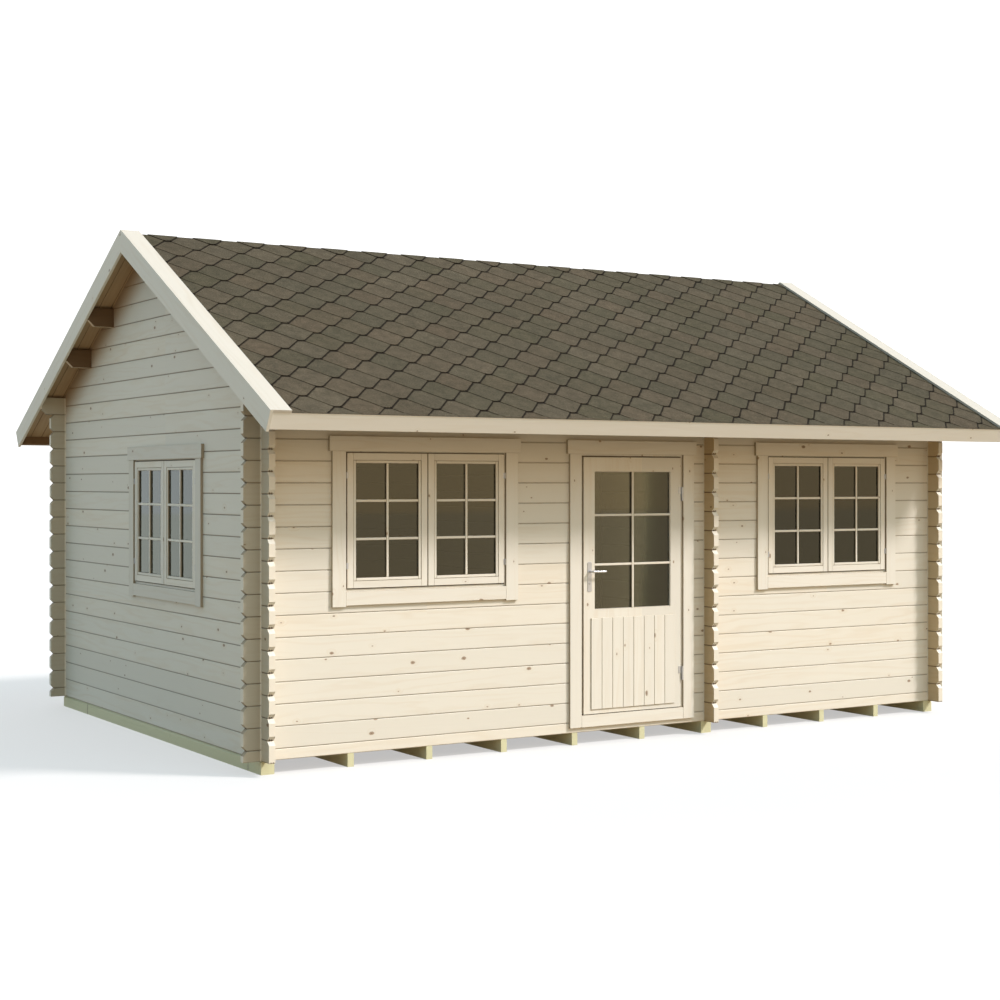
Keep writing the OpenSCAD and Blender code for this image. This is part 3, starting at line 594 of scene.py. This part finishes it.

# the purlins' dark colour is painted shade; their undersides keep a lighter tone
shaded_purlin_wood = wood("pine_purlins", ("plain", 0, 5.0, 1, 3.1), (0.150, 0.092, 0.045),
                   (0.105, 0.060, 0.028), lit=(0.70, 0.56, 0.39))
verge_wood = wood("pine_verges", ("slope", 11.0), TRIM_L, TRIM_D, knots=0.3, top=COVER_TINT)
cover_wood = wood("pine_verge_covers", ("slope", 14.0), scaled(TRIM_L, COVER_TINT),
                  scaled(TRIM_D, COVER_TINT), knots=0.0)
# the fascias' faces towards the building get painted shade (inner)
fascia_wood = wood("pine_fascias", ("plain", 0, 9.0, 1, 0.5), (0.960, 0.935, 0.860),
                   (0.905, 0.855, 0.750), knots=0.3, inner=(0.24, 0.155, 0.085))
leaf_wood = wood("pine_leaf", ("plain", 2, 4.0, 0, 2.2), TRIM_L, TRIM_D, knots=0.2)
treated = wood("treated_timber", ("plain", 1, 6.0, 0, 13.0), (0.76, 0.75, 0.50), (0.56, 0.56, 0.34),
               knots=0.3, knot=(0.20, 0.14, 0.06))
for nodes, mat, edge in (
    (("ridge_purlin", "side_purlins"), shaded_purlin_wood, 0.003),
    (("left_bargeboards", "right_bargeboards"), verge_wood, 0.0015),
    (("left_verge_covers", "right_verge_covers"), cover_wood, 0.0015),
    (("front_fascia", "rear_fascia"), fascia_wood, 0.0015),
    (("door_leaf",), leaf_wood, 0.0015),
    (("gable_bearers", "partition_bearers", "floor_joists"), treated, 0.003),
):
    for n in nodes:
        repaint(n, mat, edge)


def joinery_wood(name, tint=1.0):
    return wood(name, ("board",), scaled(TRIM_L, tint), scaled(TRIM_D, tint), knots=0.28, spread=0.07,
                warm=0.35, sides=0.78)


board_wood = joinery_wood("pine_boards")
# a copy of the trim darkened as painted shade, for the gable that lies in shade
shaded_gable_board_wood = joinery_wood("pine_gable_boards", GABLE_SHADE)
frames = [("door_frame", 0, (LEAF_X0 - 0.004, LEAF_X1 + 0.004, LEAF_Z0 - 0.004, LEAF_Z1 + 0.004), FRONT_Y)]
for name, place, x0, z0 in WINDOWS:
    axis, face = (0, FRONT_Y) if place is on_front else (1, LEFT_X)
    frames.append((name + "_frame", axis, (x0, x0 + WINDOW_W, z0, z0 + WINDOW_H), face))
for n, axis, sides, face in frames:
    # each frame gets a painted shadow strip in the gap round its leaf or sashes
    frame_wood = wood("pine_" + n, ("plain", 2, 2.0, 0, 9.0), TRIM_L, TRIM_D, knots=0.2,
                      gap_shadow=(axis, sides, face + GAP_SHADOW_IN))
    repaint(n, frame_wood, 0.001)


# -------- shingles
HALF_FLAT, SIDE, DROP = 0.025, 0.155, 0.1495    # half foot, half width and drop of a course
TILE_X, TILE_X0, TILE_S0 = 0.18, 0.287, 0.0827  # step along the ridge, and the pattern's place
SHINGLE_STEP = 0.0052                           # how far a foot stands over the course below it
UNDERLAP, CORNER, FOOT_CORNER = 0.010, 0.018, 0.012
JITTER = 0.0015


def shingle_material():
    m = Nodes("shingle_granules")
    local, _ = m.attribute("grain")
    _, tone = m.attribute("tone")
    x, s, up = m.split(local)
    rnd, tint = m.white(m.mul(tone, 977.0))
    obj, _ = m.object_place()
    grit = m.noise(obj, 620.0, 2.0, 0.7)
    specks = m.noise(obj, 210.0, 1.0, 0.6)
    cloud = m.noise(m.vec("ADD", obj, m.vec("MULTIPLY", tint, (9.0, 9.0, 9.0))), 14.0, 3.0, 0.6)
    green, brown, grey = (0.070, 0.061, 0.037), (0.075, 0.057, 0.037), (0.076, 0.065, 0.044)
    tr, tg, _ = m.split(tint)
    hue = m.scale_add(m.sub(cloud, 0.5), 0.9, m.smooth(tr, 0.1, 0.9), clamp=True)
    color = m.mix(m.mul(tg, 0.7), m.mix(hue, green, brown), grey)
    lift = m.scale_add(rnd, 0.20, 0.90)
    for value, a, b, lo, hi in (
        (cloud, 0.25, 0.75, 0.82, 1.18),
        (m.noise(obj, 1.6), 0.2, 0.8, 0.93, 1.07),
        (grit, 0.3, 0.7, 0.72, 1.28),
        (specks, 0.58, 0.70, 1.0, 1.9),
        (m.noise(obj, 125.0, 2.0, 0.7), 0.35, 0.65, 0.84, 1.18),
    ):
        lift = m.mul(lift, m.smooth(value, a, b, lo, hi))
    color = m.mix(1.0, color, m.join(lift, lift, lift), "MULTIPLY")
    # painted shadow under the upper shingle's foot and along its left side, thinner along its right side; the
    # cut edges of the shingles are dark bitumen
    length = math.hypot(SIDE - HALF_FLAT, DROP)
    a, b = DROP / length, (SIDE - HALF_FLAT) / length
    left, right = (m.add(m.add(m.mul(x, k), m.mul(s, b)), a * SIDE) for k in (a, -a))
    wander = m.mul(m.sub(m.noise(obj, 34.0), 0.5), 0.012)
    dark = m.fall(m.add(m.add(s, DROP), wander), 0.010, 0.022)
    dark = m.most(dark, m.fall(m.add(left, wander), 0.007, 0.018))
    dark = m.most(dark, m.smooth(m.add(right, wander), 0.002, 0.011, 0.66, 0.0))
    dark = m.most(dark, m.fall(up, 0.5, 0.98))
    color = m.mix(m.mul(dark, 0.95), color, (0.009, 0.006, 0.003))
    m.surface(color, 0.95, m.add(m.mul(grit, 0.6), m.mul(specks, 0.4)), 0.0012, 0.6, specular=0.12)
    return m.mat


def felt_material():
    m = Nodes("shingle_felt")
    o, _ = m.object_place()
    m.surface(m.mix(m.noise(o, 300.0), (0.016, 0.014, 0.012), (0.035, 0.031, 0.026)), 0.9)
    return m.mat


granules = shingle_material()
felt_dark = felt_material()


def cell_ring(cx, cs):
    """Outline of one shingle; its upper sides run on a little beneath the ones above it."""
    dx, ds, e = HALF_FLAT + UNDERLAP * 0.3, DROP + UNDERLAP, UNDERLAP * 0.2
    side = Vector((SIDE - HALF_FLAT, -DROP)).normalized() * CORNER
    foot = cs + DROP
    return [
        (cx - dx, cs - ds), (cx - SIDE - e, cs - UNDERLAP), (cx - SIDE, cs),
        (cx - HALF_FLAT - side.x, foot + side.y), (cx - HALF_FLAT + FOOT_CORNER, foot),
        (cx + HALF_FLAT - FOOT_CORNER, foot), (cx + HALF_FLAT + side.x, foot + side.y),
        (cx + SIDE, cs), (cx + SIDE + e, cs - UNDERLAP), (cx + dx, cs - ds),
    ]


def lay_shingles(parts, side, x0, x1, s0, s1, top, bottom, step, courses=None):
    """Shingles of one pattern over the slope between s0 and s1.

    bottom is the height of the face they lie on, or None for a thin skin; courses keeps only those.
    """
    place = slope_place(side)
    tilt = step / (2 * DROP)
    for r in range(int(s1 / DROP) + 3):
        if (r + 1) * DROP + TILE_S0 < s0 or (r - 2) * DROP + TILE_S0 > s1:
            continue
        if courses and r not in courses:
            continue
        for c in range(int((TRIM_X0 - TILE_X0) / TILE_X) - 2, int((TRIM_X1 - TILE_X0) / TILE_X) + 3):
            if (r + c) % 2:
                continue
            key = random.Random(c * 1000 + r * 7 + (side > 0) * 500000)
            cx = TILE_X0 + c * TILE_X + key.uniform(-JITTER, JITTER)
            cs = TILE_S0 + (r - 1) * DROP + key.uniform(-JITTER, JITTER)
            ring = cell_ring(cx, cs)
            for axis, limit, low in ((0, x0, False), (0, x1, True), (1, s0, False), (1, s1, True)):
                if ring:
                    ring = clip(ring, axis, limit, low)
            if len(ring) < 3:
                continue

            def high(x, s):
                return min(top, top + (s - cs - DROP) * tilt)

            def low(x, s):
                return high(x, s) - 0.0008 if bottom is None else bottom

            def local(x, s, up):
                return Vector((x - cx, s - cs, 1.0 if bottom is None else up))

            parts.prism(ring, place, low, high, local, key.random())


def shingles(name, side, node):
    parts = Parts()
    felt = [(TRIM_X0, 0.002), (TRIM_X1, 0.002), (TRIM_X1, DECK_END), (TRIM_X0, DECK_END)]
    parts.prism(felt, slope_place(side), lambda x, s: FELT_FOOT, lambda x, s: FELT_TOP,
                lambda x, s, up: Vector(), 0.3, 1)
    lay_shingles(parts, side, TRIM_X0 + 0.0004, TRIM_X1 - 0.0004, 0.022, DECK_END, SHINGLE_TOP,
                 FELT_TOP, SHINGLE_STEP)
    # the lowest course laps over the fascia
    lay_shingles(parts, side, COVER_X0, COVER_X1, DECK_END - 0.012, EAVE_END, 0.0450, 0.0420, 0.0010)
    parts.make(name, [granules, felt_dark], replaces=(node,))


def ridge():
    """Shingles folded over the ridge in the slopes' pattern: a raised course, then a skin on the slope's."""
    parts = Parts()
    s0, s1, peak = -0.0225, 0.140, APEX_Z + 0.0470 / COS
    skin = SHINGLE_TOP + 0.0005
    for side in (1, -1):
        lay_shingles(parts, side, COVER_X0, COVER_X1, s0, s1, 0.0440, 0.0400, 0.0020, (0,))
        lay_shingles(parts, side, TRIM_X0, TRIM_X1, s0, s1, skin, None, SHINGLE_STEP, (1,))
    for v in parts.verts:
        v.z = min(v.z, peak)
    parts.make("ridge_shingles", [granules], replaces=("ridge_cap",))


shingles("front_shingle_courses", 1, "front_shingles")
shingles("rear_shingle_courses", -1, "rear_shingles")
ridge()


# -------- roof boards and floor boards
ROOF_COUNT, FLOOR_COUNT, LEAF_COUNT = 68, 36, 8
BOARD_GAP = 0.0004      # half the gap between two boards of the roof or the floor


def roof_boards(name, side, node):
    parts = Parts()
    step = (TRIM_X1 - TRIM_X0) / ROOF_COUNT

    def mitre(p):
        """The upper ends are cut upright, where the slopes meet."""
        return (p[0], p[1] - p[2] * TAN if p[1] < 0.02 else p[1], p[2])

    for i in range(ROOF_COUNT):
        lo = (TRIM_X0 + i * step + BOARD_GAP, 0.0006, 0.0)
        hi = (TRIM_X0 + (i + 1) * step - BOARD_GAP, DECK_END, DECK_T)
        parts.box(lo, hi, 1, slope_place(side), 0.0035, mitre)
    # the deck boards show only from below: their dark brown, darker still on the narrow faces, is painted
    # shade
    mat = wood(name + "_wood", ("board",), (0.50, 0.355, 0.205), (0.38, 0.25, 0.130), knots=0.3, sides=0.9)
    parts.make(name, [mat], replaces=(node,))


def floor_boards():
    parts = Parts()
    lo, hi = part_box("floor_boards")
    step = (hi.y - lo.y) / FLOOR_COUNT
    for x0, x1 in ((LEFT_X + 0.05, PARTITION_X - 0.005), (PARTITION_X + 0.05, hi.x)):
        for i in range(FLOOR_COUNT):
            y0, y1 = lo.y + i * step + BOARD_GAP, lo.y + (i + 1) * step - BOARD_GAP
            parts.box((x0, y0, lo.z), (x1, y1, hi.z), 0, in_place, 0.0015)
    mat = wood("floor_wood", ("board",), (0.78, 0.64, 0.44), (0.64, 0.47, 0.28))
    parts.make("floor_planks", [mat], replaces=("floor_boards",))


roof_boards("front_deck_boards", 1, "front_roof_boards")
roof_boards("rear_deck_boards", -1, "rear_roof_boards")
floor_boards()


# -------- casings and sashes
STILE = 0.047                               # flat part of a sash member, outside its bead
GROOVE = 0.0012                             # between the flat part and the bead
CORE_Y0, CORE_Y1 = 0.0036, 0.0084           # the layer that holds the panes
MEETING_CUT = 0.002
WIDE_GAP, FOOT_GAP = 0.012, 0.022           # from the sashes to the casing


def casing(parts, place, x0, x1, z0, z1, foot_z, rise=0.0):
    """Boards round an opening on both faces of a wall.

    rise lifts the lower board's foot over the side boards'.
    """
    wide0, wide1 = x0 - CASING_W, x1 + CASING_W
    for outer in (True, False):
        def face(p, outer=outer):
            return place(p if outer else (p[0], LOG_T - p[1], p[2]))

        parts.box((wide0, -CASING_T, foot_z), (x0, -SEAT, z1), 2, face)
        parts.box((x1, -CASING_T, foot_z), (wide1, -SEAT, z1), 2, face)
        head = (wide0 - HEAD_EAR, -CASING_T - HEAD_EXTRA, z1 + SEAT)
        parts.box(head, (wide1 + HEAD_EAR, -SEAT, z1 + CASING_W), 0, face)
        if z0 > foot_z:
            parts.box((x0 + SEAT, -CASING_T, foot_z + rise), (x1 - SEAT, -SEAT, z0), 0, face)


def glazing_bars(parts, place, x0, x1, z0, z1, heights, y0, y1, inset=0.0):
    """An upright bar in the middle of an opening, and bars across it at some heights."""
    mid = (x0 + x1) / 2
    parts.box((mid - BAR_HALF, y0, z0 + inset), (mid + BAR_HALF, y1, z1 - inset), 2, place, 0.0025)
    for z in heights:
        for a, b in ((x0 + inset, mid - BAR_HALF - JOINT), (mid + BAR_HALF + JOINT, x1 - inset)):
            parts.box((a, y0, z - BAR_HALF), (b, y1, z + BAR_HALF), 0, place, 0.0025)


def ring(parts, place, outer, inner, y0, y1, cut, joint=JOINT):
    """Four members round an opening, the upright ones first; outer and inner are x0, x1, z0, z1."""
    ox0, ox1, oz0, oz1 = outer
    ix0, ix1, iz0, iz1 = inner
    for x0, x1 in ((ox0, ix0), (ix1, ox1)):
        parts.box((x0, y0, oz0), (x1, y1, oz1), 2, place, cut)
    for z0, z1 in ((oz0, iz0), (iz1, oz1)):
        parts.box((ix0 + joint, y0, z0), (ix1 - joint, y1, z1), 0, place, cut)


def window(name, place, x0, z0, casing_wood):
    """Casing boards and a pair of sashes whose lower left corner is at x0, z0; returns the panes."""
    x1, z1 = x0 + WINDOW_W, z0 + WINDOW_H
    foot = z0 - FOOT_GAP
    c = Parts()
    casing(c, place, x0 - WIDE_GAP, x1 + WIDE_GAP, foot, z1 + WIDE_GAP, foot - CASING_W, rise=0.009)
    c.make(name + "_boards", [casing_wood], replaces=(name + "_casing",))
    p = Parts()
    panes = []
    sash_w = (WINDOW_W - MEETING) / 2
    front, back = -SASH_PROUD, SASH_T - SASH_PROUD
    for i in (0, 1):
        a = x0 + i * (sash_w + MEETING)
        a, b = a + MEETING_CUT * i, a + sash_w - MEETING_CUT * (1 - i)
        left, right, low, high = a + STILE, b - STILE, z0 + STILE, z1 - STILE
        ring(p, place, (a, b, z0, z1), (left, right, low, high), front, back, 0.0012)
        gx0, gx1, gz0, gz1 = a + SASH_MEMBER, b - SASH_MEMBER, z0 + SASH_MEMBER, z1 - SASH_MEMBER
        heights = [gz0 + (gz1 - gz0) * k / 3 + 0.004 for k in (1, 2)]
        for y0, y1 in ((front + 0.0025, CORE_Y0), (CORE_Y1, back - 0.0025)):
            # beads, let in behind a narrow groove
            outer = (left + GROOVE, right - GROOVE, low + GROOVE, high - GROOVE)
            ring(p, place, outer, (gx0, gx1, gz0, gz1), y0, y1, 0.003)
            glazing_bars(p, place, gx0, gx1, gz0, gz1, heights, y0 + 0.001, y1)
        panes.append((place, (gx0 - 0.006, 0.004, gz0 - 0.006), (gx1 + 0.006, 0.008, gz1 + 0.006)))
        # the sash's core, behind the beads
        kx0, kx1, kz0, kz1 = gx0 - 0.0085, gx1 + 0.0085, gz0 - 0.0085, gz1 + 0.0085
        p.box((left - 0.002, CORE_Y0, low), (kx0, CORE_Y1, high), 2, place)
        p.box((kx1, CORE_Y0, low), (right + 0.002, CORE_Y1, high), 2, place)
        p.box((kx0, CORE_Y0, low - 0.002), (kx1, CORE_Y1, kz0), 0, place)
        p.box((kx0, CORE_Y0, kz1), (kx1, CORE_Y1, high + 0.002), 0, place)
    # a dark strip where the two sashes meet: painted shade seen through the gap between them
    mid = x0 + sash_w + MEETING / 2
    lo, hi = (mid - 0.0052, 0.0045, z0 + 0.004), (mid + 0.0052, 0.0085, z1 - 0.004)
    p.box(lo, hi, 2, place, 0.0005, mat=1)
    p.make(name + "_sash_members", [board_wood, felt_dark], replaces=(name + "_sashes",))
    return panes


panes = []
for name, place, x0, z0 in WINDOWS:
    panes += window(name, place, x0, z0, board_wood if place is on_front else shaded_gable_board_wood)

door_boards = Parts()
casing(door_boards, on_front, LEAF_X0 - DOOR_CASING_GAP, LEAF_X1 + DOOR_CASING_GAP, LEAF_Z0 - 0.0057,
       LEAF_Z1 + DOOR_CASING_GAP, DOOR_CASING_FOOT)
door_boards.make("door_casing_boards", [board_wood], replaces=("door_casing",))

doorway = Parts()
casing(doorway, on_partition, DOORWAY_Y0, DOORWAY_Y1, DOORWAY_FOOT, DOORWAY_HEAD, DOORWAY_FOOT)
doorway.make("partition_casing_boards", [board_wood], replaces=("partition_casing",))


# -------- door
def door():
    p = Parts()
    gx0, gx1, gz0, gz1 = LEAF_X0 + LEAF_STILE, LEAF_X1 - LEAF_STILE, LEAF_GLASS_Z0, LEAF_GLASS_Z1
    gap, bead = 0.0004, 0.003
    outer = (gx0 + gap, gx1 - gap, gz0 + gap, gz1 - gap)
    inner = (gx0 + bead, gx1 - bead, gz0 + bead, gz1 - bead)
    for y0, y1 in ((LEAF_FRONT + 0.002, 0.0026), (0.0074, LEAF_BACK - 0.002)):
        glazing_bars(p, on_front, gx0, gx1, gz0, gz1, LEAF_BAR_Z, y0, y1, 0.0005)
        # narrow beads round the glass
        ring(p, on_front, outer, inner, y0 + 0.005, y1, 0.002, 0.0)
    p.make("door_glazing_bars", [board_wood], body="door")
    b = Parts()
    x0, x1, z0 = LEAF_X0 + PANEL_SIDE, LEAF_X1 - PANEL_SIDE, LEAF_Z0 + PANEL_FOOT
    step = (x1 - x0) / LEAF_COUNT
    front, back = LEAF_FRONT - SEAT, LEAF_BACK + SEAT
    for y0, y1 in ((front - PANEL_T, front), (back, back + PANEL_T)):
        for i in range(LEAF_COUNT):
            a, c = x0 + i * step + JOINT, x0 + (i + 1) * step - JOINT
            b.box((a, y0, z0), (c, y1, PANEL_TOP), 2, on_front, 0.0032)
    b.make("door_lower_boards", [board_wood], body="door", replaces=("door_panels",))


door()


# -------- glass
def glass_material():
    m = Nodes("clear_glass")
    fresnel = m.new("ShaderNodeFresnel")
    fresnel.inputs["IOR"].default_value = 1.68
    clear = m.shader("ShaderNodeBsdfTransparent", (0.50, 0.49, 0.46))
    gloss = m.shader("ShaderNodeBsdfGlossy", (0.89, 0.98, 0.97), Roughness=0.03)
    m.show(m.blend(fresnel.outputs[0], clear, gloss))
    return m.mat


glass = glass_material()
g = Parts()
for place, lo, hi in panes:
    g.box(lo, hi, 2, place, 0.0004)
g.make("window_panes", [glass], replaces=("window_glass",))
repaint("door_glass", glass)


# -------- metal
def metal_material():
    m = Nodes("satin_metal")
    o, _ = m.object_place()
    brush = m.noise(m.vec("MULTIPLY", o, (900.0, 900.0, 60.0)))
    smudge = m.noise(o, 45.0, 3.0)
    color = m.mix(smudge, (0.50, 0.52, 0.55), (0.60, 0.62, 0.65))
    rough = m.scale_add(brush, 0.12, m.scale_add(smudge, 0.10, 0.20))
    m.surface(color, rough, brush, 0.0001, 0.15, metallic=0.4)
    return m.mat


metal = metal_material()
for n in ("hinge_pins", "hinge_knuckles"):
    repaint(n, metal, 0.0006)


def add_metal(parts, verts, faces, centre=None):
    parts.add(verts, faces, [Vector(v) for v in verts], 0.5, centre)


def band(n, first, second, turned=False):
    """Faces between two rings of n points; first and second say which rings they are."""
    quads = []
    for k in range(n):
        nxt = (k + 1) % n
        quad = [first * n + k, first * n + nxt, second * n + nxt, second * n + k]
        quads.append(quad[::-1] if turned else quad)
    return quads


def tube(parts, path, sides=20):
    """A rounded tube, closed at both ends; path has points, the radius, and how it is squeezed in Y."""
    points = [Vector(p) for p, _, _ in path]
    last = len(points) - 1
    up = Vector((0, 0, 1))
    verts = []
    for i, (_, radius, flat) in enumerate(path):
        along = (points[min(i + 1, last)] - points[max(i - 1, 0)]).normalized()
        side = along.cross(up).normalized()
        for k in range(sides):
            t = 2 * math.pi * k / sides
            verts.append(points[i] + side * (math.cos(t) * radius * flat) + up * (math.sin(t) * radius))
    faces = [f for i in range(last) for f in band(sides, i, i + 1)]
    faces.append(list(range(sides))[::-1])
    faces.append([last * sides + k for k in range(sides)])
    add_metal(parts, verts, faces)


def handle_path(face, out):
    """One handle from its neck at the leaf's face to its end; out is the way it stands off."""
    x, z = LEVER_X, LEVER_Z
    reach, turn, grip = 0.045 * 0.72, 0.0125, 0.108
    path = []
    for k in range(7):
        path.append(((x, face + out * (0.0005 + reach * k / 6), z), 0.0078 if k else 0.0079, 1.0))
    for k in range(1, 9):
        t = math.pi / 2 * k / 8
        point = (x + turn * (1 - math.cos(t)), face + out * (reach + turn * math.sin(t)), z)
        path.append((point, 0.0078 + 0.0002 * k / 8, 1.0 - 0.12 * k / 8))
    for k in range(1, 13):
        s = k / 12
        point = (x + turn + s * grip, face + out * (reach + turn), z - 0.001 * math.sin(math.pi * s))
        path.append((point, 0.0080 * (1.0 if k < 12 else 0.8), 0.88 - 0.1 * s))
    return path


def lever():
    parts = Parts()
    tube(parts, handle_path(FRONT_Y + LEAF_FRONT, -1))
    tube(parts, handle_path(FRONT_Y + LEAF_BACK, 1))
    # spindle through the leaf
    ends = (LEVER_X, FRONT_Y - 0.020, LEVER_Z), (LEVER_X, FRONT_Y + 0.030, LEVER_Z)
    tube(parts, [(p, 0.004, 1.0) for p in ends])
    obj = parts.make("lever_handles", [metal], body="lever", replaces=("door_lever",),
                     smooth=True)
    obj.modifiers.new("split", "EDGE_SPLIT").split_angle = math.radians(50)


def disc(parts, cx, cz, base, out, r, depth, sides=24):
    """A round head with a cut edge on a face at base; out is the way it stands off."""
    verts = []
    for up, radius in ((-0.001, r), (depth - 0.0006, r), (depth, r - 0.0006)):
        for k in range(sides):
            a = 2 * math.pi * k / sides
            verts.append(Vector((cx + radius * math.cos(a), base + out * up, cz + radius * math.sin(a))))
    faces = band(sides, 0, 1, out > 0) + band(sides, 1, 2, out > 0)
    faces.append([2 * sides + k for k in range(sides)][::-out])
    add_metal(parts, verts, faces)


def plates():
    parts = Parts()
    lo_z, hi_z = LEVER_Z + PLATE_ABOVE - PLATE_H, LEVER_Z + PLATE_ABOVE
    half, thick, corner, cut = PLATE_HALF, PLATE_T, PLATE_CORNER, 0.0012
    lock_z = LEVER_Z - 0.092
    # rounded outline with a hole for the neck, drawn as strips round the hole
    x0, x1, z0, z1 = LEVER_X - half + corner, LEVER_X + half - corner, lo_z + corner, hi_z - corner
    outline, inset, hole = [], [], []
    for quarter, (cx, cz) in enumerate(((x1, z1), (x0, z1), (x0, z0), (x1, z0))):
        for k in range(7):
            a = math.radians(90 * quarter + 15 * k)
            px, pz = cx + corner * math.cos(a), cz + corner * math.sin(a)
            d = Vector((px - LEVER_X, pz - LEVER_Z)).normalized()
            outline.append((px, pz))
            inset.append((LEVER_X + (px - LEVER_X) * (1 - cut / half),
                          pz - math.copysign(cut, pz - (lo_z + hi_z) / 2)))
            hole.append((LEVER_X + d.x * 0.0081, LEVER_Z + d.y * 0.0081))
    rows = ((outline, 0.0), (outline, thick - cut), (inset, thick), (hole, thick), (hole, 0.0))
    for out, y_in in ((-1, FRONT_Y + LEAF_FRONT - SEAT), (1, FRONT_Y + LEAF_BACK + SEAT)):
        verts = [Vector((px, y_in + out * up, pz)) for ring, up in rows for px, pz in ring]
        faces = [f for r in range(5) for f in band(len(outline), r, (r + 1) % 5, out > 0)]
        add_metal(parts, verts, faces)
        # lock cylinder with its keyway as a dark slot of painted shade, and two screws
        base = y_in + out * thick
        disc(parts, LEVER_X, lock_z + 0.006, base, out, 0.0085, 0.0032)
        for z in (hi_z - 0.011, lo_z + 0.011):
            disc(parts, LEVER_X, z, base, out, 0.0035, 0.0012, 16)
        y0, y1 = sorted((base + out * 0.0026, base + out * 0.0036))
        lo, hi = (LEVER_X - 0.0013, y0, lock_z + 0.0005), (LEVER_X + 0.0013, y1, lock_z + 0.0115)
        parts.box(lo, hi, 2, in_place, 0.0002, mat=1)
    # the keyway's near-black colour is painted shade
    keyway_shade = Nodes("keyway_dark")
    o, _ = keyway_shade.object_place()
    keyway_shade.surface(keyway_shade.mix(keyway_shade.noise(o, 400.0), (0.010, 0.010, 0.010), (0.03, 0.03, 0.03)), 0.5)
    parts.make("lock_plates", [metal, keyway_shade.mat], body="door", replaces=("door_plates",))


def window_hinges():
    """Small pin hinges on the outer stiles of each pair of sashes."""
    parts = Parts()
    sides = 16
    for _, place, x0, z0 in WINDOWS:
        for x, out in ((x0 - 0.0052, -1), (x0 + WINDOW_W + 0.0052, 1)):
            for zc in (z0 + 0.150, z0 + WINDOW_H - 0.150):
                for a, b in ((-0.022, -0.0006), (0.0006, 0.022)):
                    verts = []
                    for up, r in ((a, 0.0030), (a + 0.001, 0.0038), (b - 0.001, 0.0038), (b, 0.0030)):
                        for k in range(sides):
                            t = 2 * math.pi * k / sides
                            verts.append(place((x + r * math.cos(t), -0.0155 + r * math.sin(t), zc + up)))
                    faces = [list(range(sides)), list(range(3 * sides, 4 * sides))]
                    faces += [f for q in range(3) for f in band(sides, q, q + 1)]
                    add_metal(parts, verts, faces, sum(verts, Vector()) / len(verts))
                near, far = sorted((x, x - out * 0.013))
                parts.box((near, -0.0133, zc - 0.020), (far, -0.0121, zc + 0.020), 2, place, 0.0003)
    parts.make("window_hinges", [metal])


lever()
plates()
window_hinges()


# -------- floor, light and camera
def ground():
    """Pale to the eye; it throws less light back than it shows."""
    m = Nodes("pale_floor")
    o, _ = m.object_place()
    tone = m.mix(m.noise(o, 0.35, 3.0), (0.78, 0.775, 0.765), (0.80, 0.795, 0.785))
    lit = m.shader("ShaderNodeBsdfDiffuse", tone)
    shown = m.blend(0.5, lit, m.shader("ShaderNodeEmission", (1.0, 1.0, 1.0)))
    thrown = m.shader("ShaderNodeBsdfDiffuse", (0.265, 0.210, 0.145))
    behind = m.smooth(m.split(o)[1], -2.5, 0.5)
    mirrored = m.shader("ShaderNodeEmission", m.mix(behind, (1.02, 0.78, 0.49), (1.26, 1.25, 1.14)))
    ray = m.new("ShaderNodeLightPath")
    unseen = m.blend(ray.outputs["Is Glossy Ray"], thrown, mirrored)
    m.show(m.blend(ray.outputs["Is Camera Ray"], unseen, shown))
    mesh = bpy.data.meshes.new("studio_floor")
    r, z = 90.0, -0.0005
    mesh.from_pydata([(-r, -r, z), (r, -r, z), (r, r, z), (-r, r, z)], [], [[0, 1, 2, 3]])
    mesh.materials.append(m.mat)
    obj = bpy.data.objects.new("studio_floor", mesh)
    bpy.context.scene.collection.objects.link(obj)


def sun(name, toward, energy, color, spread):
    data = bpy.data.lights.new(name, "SUN")
    data.energy = energy
    data.color = color
    data.angle = math.radians(spread)
    obj = bpy.data.objects.new(name, data)
    obj.rotation_mode = "QUATERNION"
    obj.rotation_quaternion = Vector(toward).to_track_quat("Z", "Y")
    bpy.context.scene.collection.objects.link(obj)


def sky():
    """Cool light from above and the left, a warm band low in front and a paler one above it.

    Behind the building it is white.
    """
    m = Nodes("studio", "World")
    way = m.new("ShaderNodeTexCoord").outputs["Generated"]

    def toward(direction, a, b):
        return m.smooth(m.vec("DOT_PRODUCT", way, direction), a, b)

    color = m.mix(toward((0.35, -0.94, -0.55), 0.05, 0.75), (0.315, 0.475, 0.575), (1.24, 0.88, 0.49))
    color = m.mix(toward((0.35, -0.55, 0.76), 0.68, 0.90), color, (1.0, 1.25, 1.35))
    color = m.mix(toward((0.20, 0.97, -0.12), 0.43, 0.58), color, (1.30, 1.30, 1.30))
    m.show(m.shader("ShaderNodeBackground", color))
    bpy.context.scene.world = m.mat


ground()
sun("key_light", (0.560, -0.485, 0.672), 3.20, (1.0, 0.915, 0.890), 10)
sky()

cam_data = bpy.data.cameras.new("camera")
cam_data.sensor_fit = "HORIZONTAL"
cam_data.sensor_width = 36.0
cam_data.lens = 62.2
cam_data.shift_y = -0.0167
cam = bpy.data.objects.new("camera", cam_data)
cam.location = (-7.642, -12.447, 1.9006)
cam.rotation_mode = "QUATERNION"
cam.rotation_quaternion = Vector((-0.5255, -0.851, 0.0)).to_track_quat("Z", "Y")
bpy.context.scene.collection.objects.link(cam)
bpy.context.scene.camera = cam
bpy.context.scene.view_settings.view_transform = "Standard"

bpy.context.view_layer.update()
